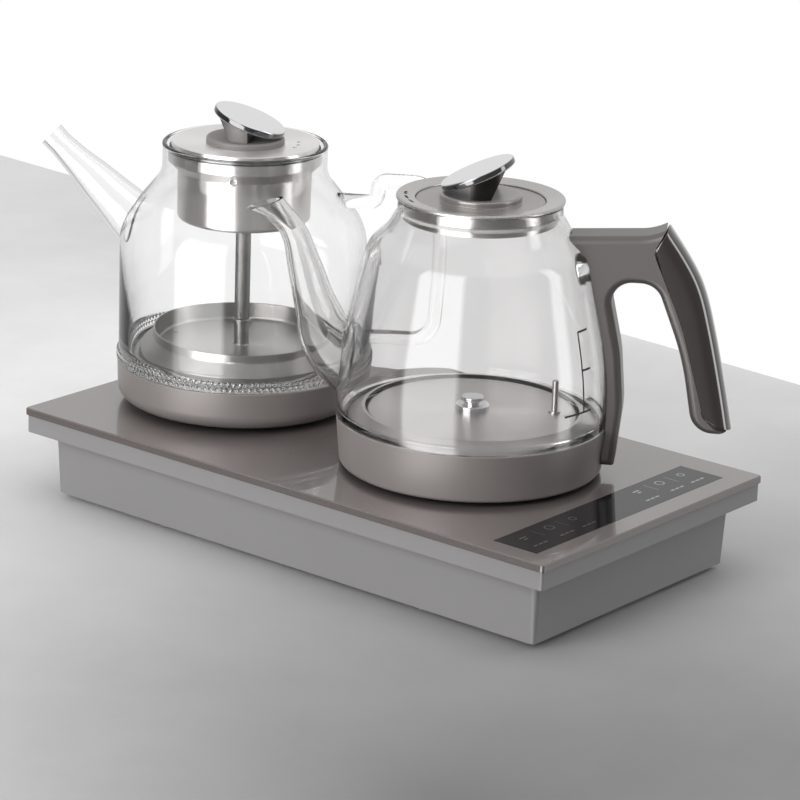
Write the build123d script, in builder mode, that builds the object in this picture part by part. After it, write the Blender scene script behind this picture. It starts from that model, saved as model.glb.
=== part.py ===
from build123d import *
import math
import os

# Built-in tea maker, millimetres. The origin is on the plane of the feet, below the middle of the
# glass panel; +Z is up and the control strip is at the front, -Y. Two vessels stand on the panel:
# the kettle in front and the brewing pot behind. Their heights are measured from the panel's top.

# Glass panel
panel_width = 200.0
panel_length = 370.0
panel_thickness = 4.0
panel_corner = 2.0
panel_edge = 0.6
strip_width = 168.8
strip_depth = 27.9
strip_thickness = 0.8
strip_x = -3.4
strip_front_margin = 13.5
gasket_thickness = 0.6

# Skirt, tub and bottom
panel_overhang = 1.0
skirt_height = 9.8
skirt_wall = 2.5
skirt_corner = 1.6
ledge_thickness = 2.4
tub_inset = 12.0
tub_depth = 36.4
tub_wall = 1.2
tub_corner = 4.0
tub_draft = 3.0
tub_lip = 12.0
cover_inset = 2.0
cover_thickness = 1.2
vent_length = 36.0
vent_width = 3.0
vent_pitch_x = 50.0
vent_pitch_y = 8.0
vent_columns = 3
vent_rows = 7
vent_y = 25.0
foot_height = 2.0
foot_radius = 8.0
foot_inset = 20.0

# Screws
screw_radius = 1.3
screw_head_radius = 2.6
screw_head_height = 1.4
screw_grip = 1.9
screw_gap = 0.05

# Clearances
fit_gap = 0.3
slip_gap = 0.2
running_gap = 0.05
rest_gap = 0.1

# Stations
kettle_y = -59.0
pot_y = 110.0
handle_angle = -57.8

# Docks, connectors and the water nozzle
dock_radius = 29.7
dock_wall = 2.2
dock_height = 5.0
dock_flange_radius = 36.0
dock_flange_thickness = 3.0
dock_post_radius = 3.5
dock_post_circle = 32.0
dock_post_count = 4
dock_post_start = 45.0
connector_radius = 16.0
connector_bore = 8.5
connector_height = 16.0
connector_flange_radius = 24.0
connector_flange_thickness = 3.0
connector_depth = 14.0
contact_groove = 0.8
contact_pitch = 4.0
nozzle_radius = 6.0
nozzle_bore = 3.0
nozzle_height = 17.3
nozzle_flange_radius = 14.0
nozzle_flange_thickness = 3.0
barb_radius = 4.0
barb_bore = 2.5
barb_length = 11.0

# Electronics
touch_board_width = 150.0
touch_board_depth = 24.0
board_thickness = 1.6
touch_pad_radius = 4.0
touch_pad_height = 4.0
touch_pad_count = 7
touch_pad_pitch = 21.0
power_board_width = 56.0
power_board_length = 90.0
power_board_x = 42.0
power_board_y = 17.0
standoff_height = 7.0
standoff_radius = 3.0
standoff_pin_radius = 1.4
standoff_inset = 4.0
transformer_size = (30.0, 28.0, 22.0)
relay_size = (19.0, 15.0, 15.0)
relay_pitch = 22.0

# Pump
fitting_inset = 55.0
pump_y = 0.0
pump_z = 22.0
motor_radius = 13.0
motor_length = 34.0
pump_radius = 17.0
pump_length = 14.0
pump_wall = 2.5
pump_cover_thickness = 3.0
impeller_radius = 12.6
impeller_hub_radius = 4.0
impeller_blades = 6
impeller_blade_thickness = 1.4
impeller_length = 8.0
shaft_radius = 1.5
shaft_reach = 8.0
bracket_length = 22.0
bracket_wall = 3.0

# Hoses and rear fittings
hose_wall = 1.8
hose_bend = 12.0
hose_drop_z = 12.0
fitting_z = 22.0
fitting_flange_radius = 8.5
fitting_flange_thickness = 2.4
fitting_sleeve_radius = 5.0
fitting_reach = 9.0
nut_thickness = 3.0
gland_bore = 3.6
gland_radius = 6.5

# Kettle: heights from the panel's top
vessel_lift = 2.5
kettle_base_radius = 72.0
kettle_radius = 74.4
kettle_collar_top = 29.0
kettle_collar_round = 2.0
collar_edge_round = 0.6
collar_wall = 2.2
collar_ledge = 18.0
ledge_reach = 12.0
kettle_belly_radius = 75.0
kettle_belly_height = 58.0
kettle_shoulder_radius = 60.3
kettle_shoulder_height = 124.0
kettle_throat_radius = 50.5
kettle_throat_rise = 9.5
kettle_neck_radius = 44.6
kettle_neck_rise = 10.0
kettle_rim_rise = 6.7
glass_wall = 2.2
foot_glass_thickness = 3.0
foot_glass_radius = 61.5
seal_thickness = 1.5
plate_gauge = 1.2
plate_flange_reach = 9.0
pot_flange_reach = 5.0
plate_round = 2.0
plate_inner_round = 0.8
plate_edge_round = 1.0
kettle_plate_radius = 57.5
kettle_plate_height = 32.0
plate_riser_radius = 60.2
kettle_slope_height = 25.0
heater_radius = 50.0
heater_thickness = 3.0
heater_coil_radius = 36.0
heater_coil_tube = 3.5
underside_thickness = 2.0
underside_gap = 1.2
socket_gap = 0.9
socket_wall = 4.0
socket_flange_radius = 27.0
socket_flange_thickness = 1.5
socket_roof = 1.8
socket_headroom = 1.7

# Fill valve and probe
seat_radius = 7.9
seat_height = 3.5
seat_ring_radius = 9.5
seat_bore = 3.2
seat_overlap = 3.0
seat_round = 1.0
valve_stem_radius = 2.2
valve_clip_radius = 4.5
valve_clip_thickness = 1.0
valve_clip_rise = 1.0
valve_lift = 2.5
valve_cap_radius = 6.2
valve_cap_neck_radius = 4.6
valve_cap_neck_height = 1.8
valve_cap_height = 4.2
valve_neck_round = 0.6
valve_rim_round = 0.4
valve_cap_round = 0.8
probe_radius = 1.75
probe_height = 18.5
probe_circle = 45.0
probe_angle = -52.4
probe_ferrule_radius = 3.4

# Kettle spout: stations along the centre line in the handle's plane, opposite the handle:
# (reach, height, outer radius, lean of the axis in degrees above level)
kettle_spout = (
    (-60.0, kettle_belly_height - 3.0, 22.0, 22.0),
    (-74.0, kettle_belly_height + 3.0, 19.0, 28.0),
    (-82.5, kettle_belly_height + 12.0, 15.5, 45.0),
    (-87.2, kettle_belly_height + 26.0, 12.0, 66.0),
    (-94.7, kettle_shoulder_height - 16.0, 9.2, 71.0),
    (-101.0, kettle_shoulder_height + 3.0, 7.3, 63.0),
    (-116.0, kettle_shoulder_height + 17.2, 7.8, 62.0),
)
spout_wall = 1.8

# Kettle handle: outline in the handle's plane
handle_width = 24.0
handle_round = 4.0
handle_gap = 0.3
handle_outline = (
    (40.0, kettle_shoulder_height + 10.6),
    (93.0, kettle_shoulder_height + 14.2),
    (102.0, kettle_shoulder_height + 18.6),
    (122.5, 112.0),
    (132.9, 72.0),
    (141.9, 30.3),
    (120.4, 30.3),
    (112.6, 72.0),
    (96.9, 111.6),
    (70.6, 111.6),
    (79.6, 72.0),
    (82.4, 42.0),
    (79.2, 8.4),
    (60.0, 8.4),
)
handle_rounds = (0, 30.0, 2.5, 70.0, 160.0, 6.0, 13.0, 150.0, 12.0, 11.0, 80.0, 60.0, 1.5, 0)
seam_outline = (
    (104.8, kettle_shoulder_height + 26.0),
    (94.6, kettle_shoulder_height + 5.6),
    (112.2, 89.5),
    (123.8, 48.0),
    (125.6, 40.0),
    (133.5, 32.6),
    (150.0, 31.6),
    (165.0, 90.0),
    (130.0, kettle_shoulder_height + 26.0),
)
seam_rounds = (0, 6.0, 160.0, 60.0, 8.0, 8.0, 0, 0, 0)
seam_gap = 0.2
side_face_share = 0.999
handle_screw_drop = 7.5
handle_screw_radius = 2.5
handle_screw_reach = 12.0
handle_cap_radius = 8.9
handle_cap_thickness = 3.6
handle_cap_round = 1.2
washer_radius = 7.6
washer_thickness = 3.2

# Kettle lid
lid_ring_overhang = 1.0
lid_ring_bore = 35.2
lid_ring_thickness = 2.2
lid_ring_step = 0.8
lid_ring_foot_round = 0.6
lid_ring_top_round = 1.2
lid_ring_bore_round = 0.8
lid_disc_thickness = 3.1
lid_disc_drop = 3.2
lid_disc_round = 0.6
lid_skirt_gap = 1.2
lid_skirt_depth = 11.2
lid_skirt_gauge = 0.8
lid_skirt_lip = 2.5
lid_seal_height = 2.0
lid_seal_offset = 3.0
lid_slot_length = 6.5
lid_slot_width = 1.7
lid_slot_depth = 2.6
lid_slot_angles = (125.0, 138.0, 151.0)

# Lid knobs
boss_radius = 22.2
boss_height = 3.7
boss_round = 1.5
boss_foot_round = 0.4
knob_radius = 21.0
knob_thickness = 4.2
knob_round = 1.3
knob_shift = 2.2
knob_neck_radius = 19.0
knob_neck_low = 4.0
knob_neck_high = 7.0
knob_neck_reach = 18.5
knob_scoop_x = 9.4
knob_scoop_rise = 5.6
kettle_knob_tilt = 24.0
kettle_knob_rise = 10.7
pot_knob_tilt = -20.0
pot_knob_rise = 9.3

# Brewing pot: heights from the panel's top
pot_base_radius = 70.4
pot_collar_radius = 71.0
pot_collar_top = 24.5
pot_collar_round = 8.0
pot_collar_ledge = 16.0
pot_radius = 70.4
pot_bead_radius = 70.8
pot_bead_height = 4.0
pot_shoulder_height = 104.8
pot_neck_radius = 46.7
pot_throat_rise = 29.4
pot_neck_length = 16.8
pot_rim_bead = 1.5
heel_rise = 6.0
dimple_radius = 2.4
dimple_inset = 0.6
dimple_drop = 11.8
dimple_angles = (-27.0, 93.0, 213.0)
pot_plate_height = 25.0

# Boiler cover and riser
cover_gauge = 1.0
cover_flange_radius = 60.0
cover_flange_height = 3.4
cover_rim_radius = 51.6
cover_rim_height = 40.3
cover_band_height = 35.6
cover_floor_height = 29.2
inflow_hole_radius = 1.5
inflow_circle = 43.0
inflow_angle = 106.9
riser_radius = 4.4
riser_bore = 3.0
riser_joint_height = 46.0
riser_joint_radius = 5.4
riser_joint_length = 2.4
riser_joint_round = 0.5
stub_foot_round = 1.0
dish_round = 2.0
dish_rim_round = 0.4
band_top_round = 0.5
band_foot_round = 1.5
cover_shoulder_round = 1.0

# Infuser basket
basket_radius = 37.8
basket_wall_length = 29.3
basket_flare_length = 5.5
basket_lip_length = 5.8
basket_lip_gap = 1.2
basket_rim_drop = 2.7
basket_gauge = 0.8
basket_round = 2.5
basket_hole_radius = 0.8
basket_flare_round = 1.5
basket_hole_circles = (14.0, 22.0, 30.0)
basket_hole_pitch = 7.3
riser_top_reach = 6.3
riser_nut_radius = 6.5
riser_nut_height = 2.5
riser_rib_radius = 5.2
riser_rib_height = 1.6
riser_rib_pitch = 2.7
riser_rib_count = 3
clip_width = 8.0
clip_height = 6.0
clip_gauge = 0.6

# Pot spout and glass handle
pot_spout = (
    (-57.9, pot_shoulder_height - 6.1, 15.7, 43.5),
    (-103.5, pot_shoulder_height + 37.0, 7.5, 43.5),
    (-111.7, pot_shoulder_height + 45.1, 7.4, 66.0),
)
glass_rod_radius = 4.2
rod_upper_rise = 17.0
rod_top_rise = 29.8
rod_lower_height = 43.5
rod_step = 75.5
rod_reach = 110.0
rod_lean = 2.0
rod_step_bend = 5.0
rod_corner_bend = 14.0
rod_grip_bend = 150.0

# Pot lid
pot_lid_inset = 1.5
pot_lid_thickness = 2.2
pot_lid_dish = 1.1
pot_lid_foot_round = 0.4
pot_lid_top_round = 0.4
pot_seal_inset = 0.4
pot_seal_bore = 38.0
pot_seal_thickness = 1.2
vent_hole_radius = 1.1
vent_hole_circle = 30.2
vent_hole_angles = (-45.0, -59.0, -72.0)

# Derived levels, from the feet up
cover_bottom = foot_height
tub_bottom = cover_bottom + cover_thickness
ledge_bottom = tub_bottom + tub_depth
skirt_top = ledge_bottom + skirt_height
panel_bottom = skirt_top + gasket_thickness
panel_top = panel_bottom + panel_thickness
dock_top = panel_top + dock_height

# Derived plan sizes
skirt_width = panel_width - 2 * panel_overhang
skirt_length = panel_length - 2 * panel_overhang
tub_width = panel_width - 2 * tub_inset
tub_length = panel_length - 2 * tub_inset
draft_inset = tub_depth * math.tan(math.radians(tub_draft))
floor_width = tub_width - 2 * draft_inset
floor_length = tub_length - 2 * draft_inset
cover_width = floor_width - 2 * cover_inset
cover_length = floor_length - 2 * cover_inset
strip_y = -panel_length / 2 + strip_front_margin + strip_depth / 2
board_top = panel_bottom - touch_pad_height
pump_x = fitting_inset - panel_width / 2
inlet_x = pump_x
gland_x = -pump_x
hose_bore = barb_radius + running_gap
hose_radius = hose_bore + hose_wall
kettle_ledge_top = collar_ledge + underside_thickness
pot_ledge_top = pot_collar_ledge + underside_thickness
kettle_glass_foot = kettle_ledge_top + plate_gauge + seal_thickness
pot_glass_foot = pot_ledge_top + plate_gauge + seal_thickness
socket_roof_height = connector_height + socket_headroom
kettle_throat_height = kettle_shoulder_height + kettle_throat_rise
kettle_neck_height = kettle_throat_height + kettle_neck_rise
kettle_rim_height = kettle_neck_height + kettle_rim_rise
lid_bottom = kettle_rim_height + rest_gap
disc_bottom = lid_bottom - lid_disc_drop
disc_top = disc_bottom + lid_disc_thickness
pot_throat_height = pot_shoulder_height + pot_throat_rise
pot_rim_height = pot_throat_height + pot_neck_length
rod_upper_height = pot_shoulder_height + rod_upper_rise
rod_top_height = pot_shoulder_height + rod_top_rise
dimple_height = pot_rim_height - dimple_drop
basket_rim_height = pot_rim_height - basket_rim_drop
basket_lip_bottom = basket_rim_height - basket_lip_length
basket_flare_height = basket_lip_bottom - basket_flare_length
basket_floor_height = basket_flare_height - basket_wall_length
pot_lid_bottom = basket_rim_height + rest_gap + pot_seal_thickness

# Derived radii of the lids and of what hangs in the pot's neck
lid_ring_radius = kettle_neck_radius + lid_ring_overhang
lid_skirt_radius = kettle_neck_radius - glass_wall - lid_skirt_gap
lid_core_radius = lid_skirt_radius - lid_skirt_lip - running_gap
dimple_circle = pot_neck_radius - glass_wall - dimple_inset
basket_lip_radius = pot_neck_radius - glass_wall - basket_lip_gap
pot_lid_radius = basket_lip_radius - pot_lid_inset
pot_seal_radius = basket_lip_radius - pot_seal_inset


# A vertical plane through a vessel's axis: x runs out towards the handle, y runs up from the panel
def section(station_y):
    angle = math.radians(handle_angle)
    out = Vector(math.cos(angle), math.sin(angle), 0)
    return Plane(origin=(0, station_y, panel_top), x_dir=out, z_dir=out.cross(Vector(0, 0, 1)))


def upright_axis(x, y):
    return Axis((x, y, 0), (0, 0, 1))


# A body of revolution about a vessel's axis from its outline of (radius, height) points
def turned(station_y, points, rounds=0):
    with BuildPart() as body:
        with BuildSketch(section(station_y)):
            with BuildLine():
                FilletPolyline(*points, radius=rounds, close=True)
            make_face()
        revolve(axis=upright_axis(0, station_y))
    return body


def cylinder_at(x, y, bottom, radius, height, bore=0):
    with BuildPart() as body:
        with BuildSketch(Plane((x, y, bottom))):
            Circle(radius)
            if bore:
                Circle(bore, mode=Mode.SUBTRACT)
        extrude(amount=height)
    return body


def block_at(x, y, bottom, size):
    with BuildPart() as body:
        with BuildSketch(Plane((x, y, bottom))):
            Rectangle(size[0], size[1])
        extrude(amount=size[2])
    return body


def polar(radius, angle):
    turn = math.radians(angle)
    return radius * math.cos(turn), radius * math.sin(turn)


# ---- Base: glass, skirt and tub ----


def glass_panel():
    with BuildPart() as panel:
        with BuildSketch(Plane.XY.offset(panel_bottom)):
            RectangleRounded(panel_width, panel_length, panel_corner)
        extrude(amount=panel_thickness)
        chamfer(panel.faces().sort_by(Axis.Z)[-1].edges(), panel_edge)
        with BuildSketch(Plane.XY.offset(panel_bottom)):
            with Locations((0, kettle_y), (0, pot_y)):
                Circle(dock_radius + fit_gap)
        extrude(amount=panel_thickness, mode=Mode.SUBTRACT)
        with BuildSketch(Plane.XY.offset(panel_top)):
            with Locations((strip_x, strip_y)):
                Rectangle(strip_width + 2 * slip_gap, strip_depth + 2 * slip_gap)
        extrude(amount=-strip_thickness, mode=Mode.SUBTRACT)
    return panel


def control_strip():
    size = (strip_width, strip_depth, strip_thickness)
    return block_at(strip_x, strip_y, panel_top - strip_thickness, size)


def panel_gasket():
    with BuildPart() as gasket:
        with BuildSketch(Plane.XY.offset(skirt_top)):
            RectangleRounded(skirt_width, skirt_length, skirt_corner)
            Rectangle(skirt_width - 2 * skirt_wall, skirt_length - 2 * skirt_wall, mode=Mode.SUBTRACT)
        extrude(amount=gasket_thickness)
    return gasket


# Screws down through the tub's flange into the skirt's ledge, along the sides and the ends
def ledge_screw_points():
    middle = tub_inset - panel_overhang - skirt_wall
    x = tub_width / 2 + middle / 2
    y = tub_length / 2 + middle / 2
    points = []
    for side in (-1, 1):
        points += [(side * x, step * panel_length / 3) for step in (-1, 0, 1)]
        points += [(step * panel_width / 4, side * y) for step in (-1, 1)]
    return points


# Screws up through the bottom cover into the tub's inner lip
def cover_screw_points():
    x = cover_width / 2 - tub_lip / 3
    y = cover_length / 2 - tub_lip / 3
    points = []
    for side in (-1, 1):
        points += [(side * x, step * panel_length / 4) for step in (-1, 1)]
        points += [(step * panel_width / 5, side * y) for step in (-1, 1)]
    return points


def trim_frame():
    flange_bottom = ledge_bottom + ledge_thickness
    with BuildPart() as frame:
        with BuildSketch(Plane.XY.offset(ledge_bottom)):
            RectangleRounded(skirt_width, skirt_length, skirt_corner)
            Rectangle(skirt_width - 2 * skirt_wall, skirt_length - 2 * skirt_wall, mode=Mode.SUBTRACT)
        extrude(amount=skirt_height)
        with BuildSketch(Plane.XY.offset(ledge_bottom)):
            Rectangle(skirt_width - skirt_wall, skirt_length - skirt_wall)
            RectangleRounded(
                tub_width + 2 * slip_gap, tub_length + 2 * slip_gap, tub_corner, mode=Mode.SUBTRACT
            )
        extrude(amount=ledge_thickness)
        with BuildSketch(Plane.XY.offset(flange_bottom)):
            with Locations(*ledge_screw_points()):
                Circle(screw_radius + screw_gap)
        extrude(amount=-screw_grip, mode=Mode.SUBTRACT)
    return frame


def tub():
    flange_bottom = ledge_bottom + ledge_thickness
    flange_width = skirt_width - 2 * skirt_wall - 2 * slip_gap
    flange_length = skirt_length - 2 * skirt_wall - 2 * slip_gap
    inner_width = tub_width - 2 * tub_wall
    inner_length = tub_length - 2 * tub_wall
    inner_corner = tub_corner - tub_wall
    with BuildPart() as pan:
        with BuildSketch(Plane.XY.offset(ledge_bottom)):
            RectangleRounded(tub_width, tub_length, tub_corner)
        extrude(amount=-tub_depth, taper=tub_draft)
        with BuildSketch(Plane.XY.offset(ledge_bottom)):
            RectangleRounded(tub_width, tub_length, tub_corner)
        extrude(amount=ledge_thickness)
        with BuildSketch(Plane.XY.offset(flange_bottom)):
            Rectangle(flange_width, flange_length)
        extrude(amount=tub_wall)
        with BuildSketch(Plane.XY.offset(ledge_bottom)):
            RectangleRounded(inner_width, inner_length, inner_corner)
        extrude(amount=ledge_thickness + tub_wall, mode=Mode.SUBTRACT)
        with BuildSketch(Plane.XY.offset(ledge_bottom)):
            RectangleRounded(inner_width, inner_length, inner_corner)
        extrude(amount=-(tub_depth - tub_wall), taper=tub_draft, mode=Mode.SUBTRACT)
        with BuildSketch(Plane.XY.offset(tub_bottom)):
            Rectangle(floor_width - 2 * tub_lip, floor_length - 2 * tub_lip)
        extrude(amount=tub_wall, mode=Mode.SUBTRACT)
        with BuildSketch(Plane.XY.offset(flange_bottom)):
            with Locations(*ledge_screw_points()):
                Circle(screw_radius + screw_gap)
        extrude(amount=tub_wall, mode=Mode.SUBTRACT)
        with BuildSketch(Plane.XY.offset(tub_bottom)):
            with Locations(*cover_screw_points()):
                Circle(screw_radius + screw_gap)
        extrude(amount=tub_wall, mode=Mode.SUBTRACT)
        with BuildSketch(Plane.XZ.offset(-tub_length / 2 - tub_wall)):
            with Locations((inlet_x, fitting_z), (gland_x, fitting_z)):
                Circle(fitting_sleeve_radius + slip_gap)
        extrude(amount=2 * tub_inset, mode=Mode.SUBTRACT)
    return pan


def screws(points, head_bottom, direction, length):
    head_plane = Plane(origin=(0, 0, head_bottom), z_dir=(0, 0, direction))
    shank_plane = Plane(origin=(0, 0, head_bottom), z_dir=(0, 0, -direction))
    with BuildPart() as group:
        with BuildSketch(head_plane):
            with Locations(*[head_plane.to_local_coords(Vector(x, y, head_bottom)) for x, y in points]):
                Circle(screw_head_radius)
        extrude(amount=screw_head_height)
        with BuildSketch(shank_plane):
            with Locations(*[shank_plane.to_local_coords(Vector(x, y, head_bottom)) for x, y in points]):
                Circle(screw_radius)
        extrude(amount=length)
    return group


def case_screws():
    flange_top = ledge_bottom + ledge_thickness + tub_wall
    upper = screws(ledge_screw_points(), flange_top, 1, tub_wall + screw_grip - screw_gap)
    lower = screws(cover_screw_points(), cover_bottom, -1, cover_thickness + tub_wall)
    with BuildPart() as group:
        add(upper.part)
        add(lower.part)
    return group


# The bottom cover carries the power board on moulded standoffs
def bottom_cover():
    with BuildPart() as cover:
        with BuildSketch(Plane.XY.offset(cover_bottom)):
            RectangleRounded(cover_width, cover_length, tub_corner)
            with Locations(*cover_screw_points()):
                Circle(screw_radius + screw_gap, mode=Mode.SUBTRACT)
            with Locations((0, vent_y)):
                with GridLocations(vent_pitch_x, vent_pitch_y, vent_columns, vent_rows):
                    SlotOverall(vent_length, vent_width, mode=Mode.SUBTRACT)
        extrude(amount=cover_thickness)
        with BuildSketch(Plane((power_board_x, power_board_y, tub_bottom))):
            with GridLocations(*standoff_grid(), 2, 2):
                Circle(standoff_radius)
        extrude(amount=standoff_height)
        with BuildSketch(Plane((power_board_x, power_board_y, tub_bottom + standoff_height))):
            with GridLocations(*standoff_grid(), 2, 2):
                Circle(standoff_pin_radius)
        extrude(amount=board_thickness)
    return cover


def feet():
    x = cover_width / 2 - foot_inset
    y = cover_length / 2 - foot_inset
    with BuildPart() as group:
        with BuildSketch(Plane.XY):
            with GridLocations(2 * x, 2 * y, 2, 2):
                Circle(foot_radius)
        extrude(amount=foot_height)
    return group


# ---- Base: docks, connectors and nozzle ----


def docks():
    flange_bottom = panel_bottom - dock_flange_thickness
    with BuildPart() as pair:
        for station_y in (kettle_y, pot_y):
            with BuildSketch(Plane((0, station_y, flange_bottom))):
                Circle(dock_flange_radius)
                Circle(dock_radius - dock_wall, mode=Mode.SUBTRACT)
            extrude(amount=dock_flange_thickness)
            with BuildSketch(Plane((0, station_y, flange_bottom))):
                Circle(dock_radius)
                Circle(dock_radius - dock_wall, mode=Mode.SUBTRACT)
            extrude(amount=dock_top - flange_bottom)
            with BuildSketch(Plane((0, station_y, dock_top))):
                Circle(dock_radius)
                Circle(connector_radius + slip_gap, mode=Mode.SUBTRACT)
            extrude(amount=-dock_wall)
            with BuildSketch(Plane((0, station_y, tub_bottom))):
                with PolarLocations(dock_post_circle, dock_post_count, dock_post_start):
                    Circle(dock_post_radius)
            extrude(amount=flange_bottom - tub_bottom)
    return pair


# Height of the connector's flange top above the panel: it is held under the dock's top plate
connector_seat = dock_height - dock_wall


def kettle_connector():
    flange_bottom = connector_seat - connector_flange_thickness
    outline = [(connector_bore, -connector_depth), (connector_radius, -connector_depth)]
    outline += [(connector_radius, flange_bottom), (connector_flange_radius, flange_bottom)]
    outline += [(connector_flange_radius, connector_seat), (connector_radius, connector_seat)]
    for step in (2, 1):
        groove = connector_height - step * contact_pitch
        outline += [(connector_radius, groove), (connector_radius - contact_groove, groove)]
        outline += [(connector_radius - contact_groove, groove + contact_pitch / 2)]
        outline += [(connector_radius, groove + contact_pitch / 2)]
    outline += [(connector_radius, connector_height), (connector_bore, connector_height)]
    return turned(kettle_y, outline)


def pot_connector():
    flange_bottom = connector_seat - connector_flange_thickness
    outline = [(0, -connector_depth), (connector_radius, -connector_depth)]
    outline += [(connector_radius, flange_bottom), (connector_flange_radius, flange_bottom)]
    outline += [(connector_flange_radius, connector_seat), (connector_radius, connector_seat)]
    for step in (2, 1):
        groove = connector_height - step * contact_pitch
        outline += [(connector_radius, groove), (connector_radius - contact_groove, groove)]
        outline += [(connector_radius - contact_groove, groove + contact_pitch / 2)]
        outline += [(connector_radius, groove + contact_pitch / 2)]
    outline += [(connector_radius, connector_height), (0, connector_height)]
    return turned(pot_y, outline)


# Level of the nozzle flange's underside, below the connector
nozzle_shoulder = -connector_depth - nozzle_flange_thickness


def water_nozzle():
    outline = [
        (nozzle_bore, nozzle_shoulder - barb_length),
        (barb_radius, nozzle_shoulder - barb_length),
        (barb_radius, nozzle_shoulder),
        (nozzle_flange_radius, nozzle_shoulder),
        (nozzle_flange_radius, -connector_depth),
        (nozzle_radius, -connector_depth),
        (nozzle_radius, nozzle_height),
        (nozzle_bore, nozzle_height),
    ]
    return turned(kettle_y, outline)


# ---- Base: electronics ----


def touch_board():
    with BuildPart() as board:
        with BuildSketch(Plane((strip_x, strip_y, board_top - board_thickness))):
            Rectangle(touch_board_width, touch_board_depth)
        extrude(amount=board_thickness)
        with BuildSketch(Plane((strip_x, strip_y, board_top))):
            with GridLocations(touch_pad_pitch, 1, touch_pad_count, 1):
                Circle(touch_pad_radius)
        extrude(amount=touch_pad_height)
    return board


def standoff_grid():
    x = power_board_width - 2 * standoff_inset
    y = power_board_length - 2 * standoff_inset
    return x, y


def power_board():
    with BuildPart() as board:
        with BuildSketch(Plane((power_board_x, power_board_y, tub_bottom + standoff_height))):
            Rectangle(power_board_width, power_board_length)
            with GridLocations(*standoff_grid(), 2, 2):
                Circle(standoff_pin_radius + screw_gap, mode=Mode.SUBTRACT)
        extrude(amount=board_thickness)
    return board


components_bottom = tub_bottom + standoff_height + board_thickness


# The transformer and two relays, soldered on the power board
def power_parts():
    transformer_y = power_board_y - transformer_size[1] / 2
    relays_y = power_board_y + relay_size[1]
    with BuildPart() as group:
        with BuildSketch(Plane((power_board_x, transformer_y, components_bottom))):
            Rectangle(transformer_size[0], transformer_size[1])
        extrude(amount=transformer_size[2])
        with BuildSketch(Plane((power_board_x, relays_y, components_bottom))):
            with GridLocations(relay_pitch, 1, 2, 1):
                Rectangle(relay_size[0], relay_size[1])
        extrude(amount=relay_size[2])
    return group


# ---- Base: pump, hoses and rear fittings ----


# A plane square to Y at a given y, seen from the front: its x is +X, its y is +Z, its z is -Y
def cross_plane(x, y, z):
    return Plane(origin=(x, y, z), x_dir=(1, 0, 0), z_dir=(0, -1, 0))


def pump_bracket():
    half = motor_radius + bracket_wall
    with BuildPart() as bracket:
        with BuildSketch(cross_plane(pump_x, pump_y - (motor_length - bracket_length) / 2, pump_z)):
            Circle(half)
            with Locations((0, -(pump_z - tub_bottom) / 2)):
                Rectangle(2 * half, pump_z - tub_bottom)
            Circle(motor_radius + running_gap, mode=Mode.SUBTRACT)
        extrude(amount=bracket_length)
    return bracket


def pump_motor():
    with BuildPart() as motor:
        with BuildSketch(cross_plane(pump_x, pump_y, pump_z)):
            Circle(motor_radius)
        extrude(amount=motor_length)
        with BuildSketch(cross_plane(pump_x, pump_y, pump_z)):
            Circle(shaft_radius + running_gap)
        extrude(amount=shaft_reach + running_gap, mode=Mode.SUBTRACT)
    return motor


# The outlet leaves the foot of the chamber sideways, towards +X
outlet_z = hose_drop_z
outlet_y = pump_y + pump_length / 2 + pump_wall / 2
outlet_x = pump_x + pump_radius


def pump_housing():
    with BuildPart() as housing:
        with BuildSketch(cross_plane(pump_x, pump_y + pump_length, pump_z)):
            Circle(pump_radius)
        extrude(amount=pump_length)
        with BuildSketch(Plane.YZ.offset(pump_x)):
            with Locations((outlet_y, outlet_z)):
                Circle(barb_radius)
        extrude(amount=pump_radius + barb_length)
        with BuildSketch(Plane.YZ.offset(pump_x)):
            with Locations((outlet_y, outlet_z)):
                Circle(barb_bore)
        extrude(amount=pump_radius + barb_length, mode=Mode.SUBTRACT)
        with BuildSketch(cross_plane(pump_x, pump_y + pump_length, pump_z)):
            Circle(pump_radius - pump_wall)
        extrude(amount=pump_length - pump_wall, mode=Mode.SUBTRACT)
        with BuildSketch(cross_plane(pump_x, pump_y + pump_length, pump_z)):
            Circle(shaft_radius + running_gap)
        extrude(amount=pump_length, mode=Mode.SUBTRACT)
    return housing


def pump_cover():
    with BuildPart() as cover:
        with BuildSketch(cross_plane(pump_x, pump_y + pump_length + pump_cover_thickness, pump_z)):
            Circle(pump_radius)
        extrude(amount=pump_cover_thickness)
        front = pump_y + pump_length + pump_cover_thickness + barb_length
        with BuildSketch(cross_plane(pump_x, front, pump_z)):
            Circle(barb_radius)
        extrude(amount=barb_length)
        with BuildSketch(cross_plane(pump_x, front, pump_z)):
            Circle(barb_bore)
        extrude(amount=barb_length + pump_cover_thickness, mode=Mode.SUBTRACT)
    return cover


def pump_impeller():
    back = pump_y + pump_wall + fit_gap
    with BuildPart() as impeller:
        with BuildSketch(cross_plane(pump_x, back + impeller_length, pump_z)):
            Circle(impeller_hub_radius)
            with PolarLocations(impeller_radius / 2, impeller_blades):
                Rectangle(impeller_radius, impeller_blade_thickness)
        extrude(amount=impeller_length)
        with BuildSketch(cross_plane(pump_x, back + impeller_length, pump_z)):
            Circle(shaft_radius)
        extrude(amount=back + impeller_length - pump_y + shaft_reach)
    return impeller


# Inner face of the tub's rear wall at the fittings' height
wall_draft = (ledge_bottom - fitting_z) * math.tan(math.radians(tub_draft))
draft_gap = fitting_flange_radius * math.tan(math.radians(tub_draft)) + running_gap
rear_wall_inside = tub_length / 2 - tub_wall - wall_draft
rear_wall_outside = tub_length / 2 - wall_draft


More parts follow.
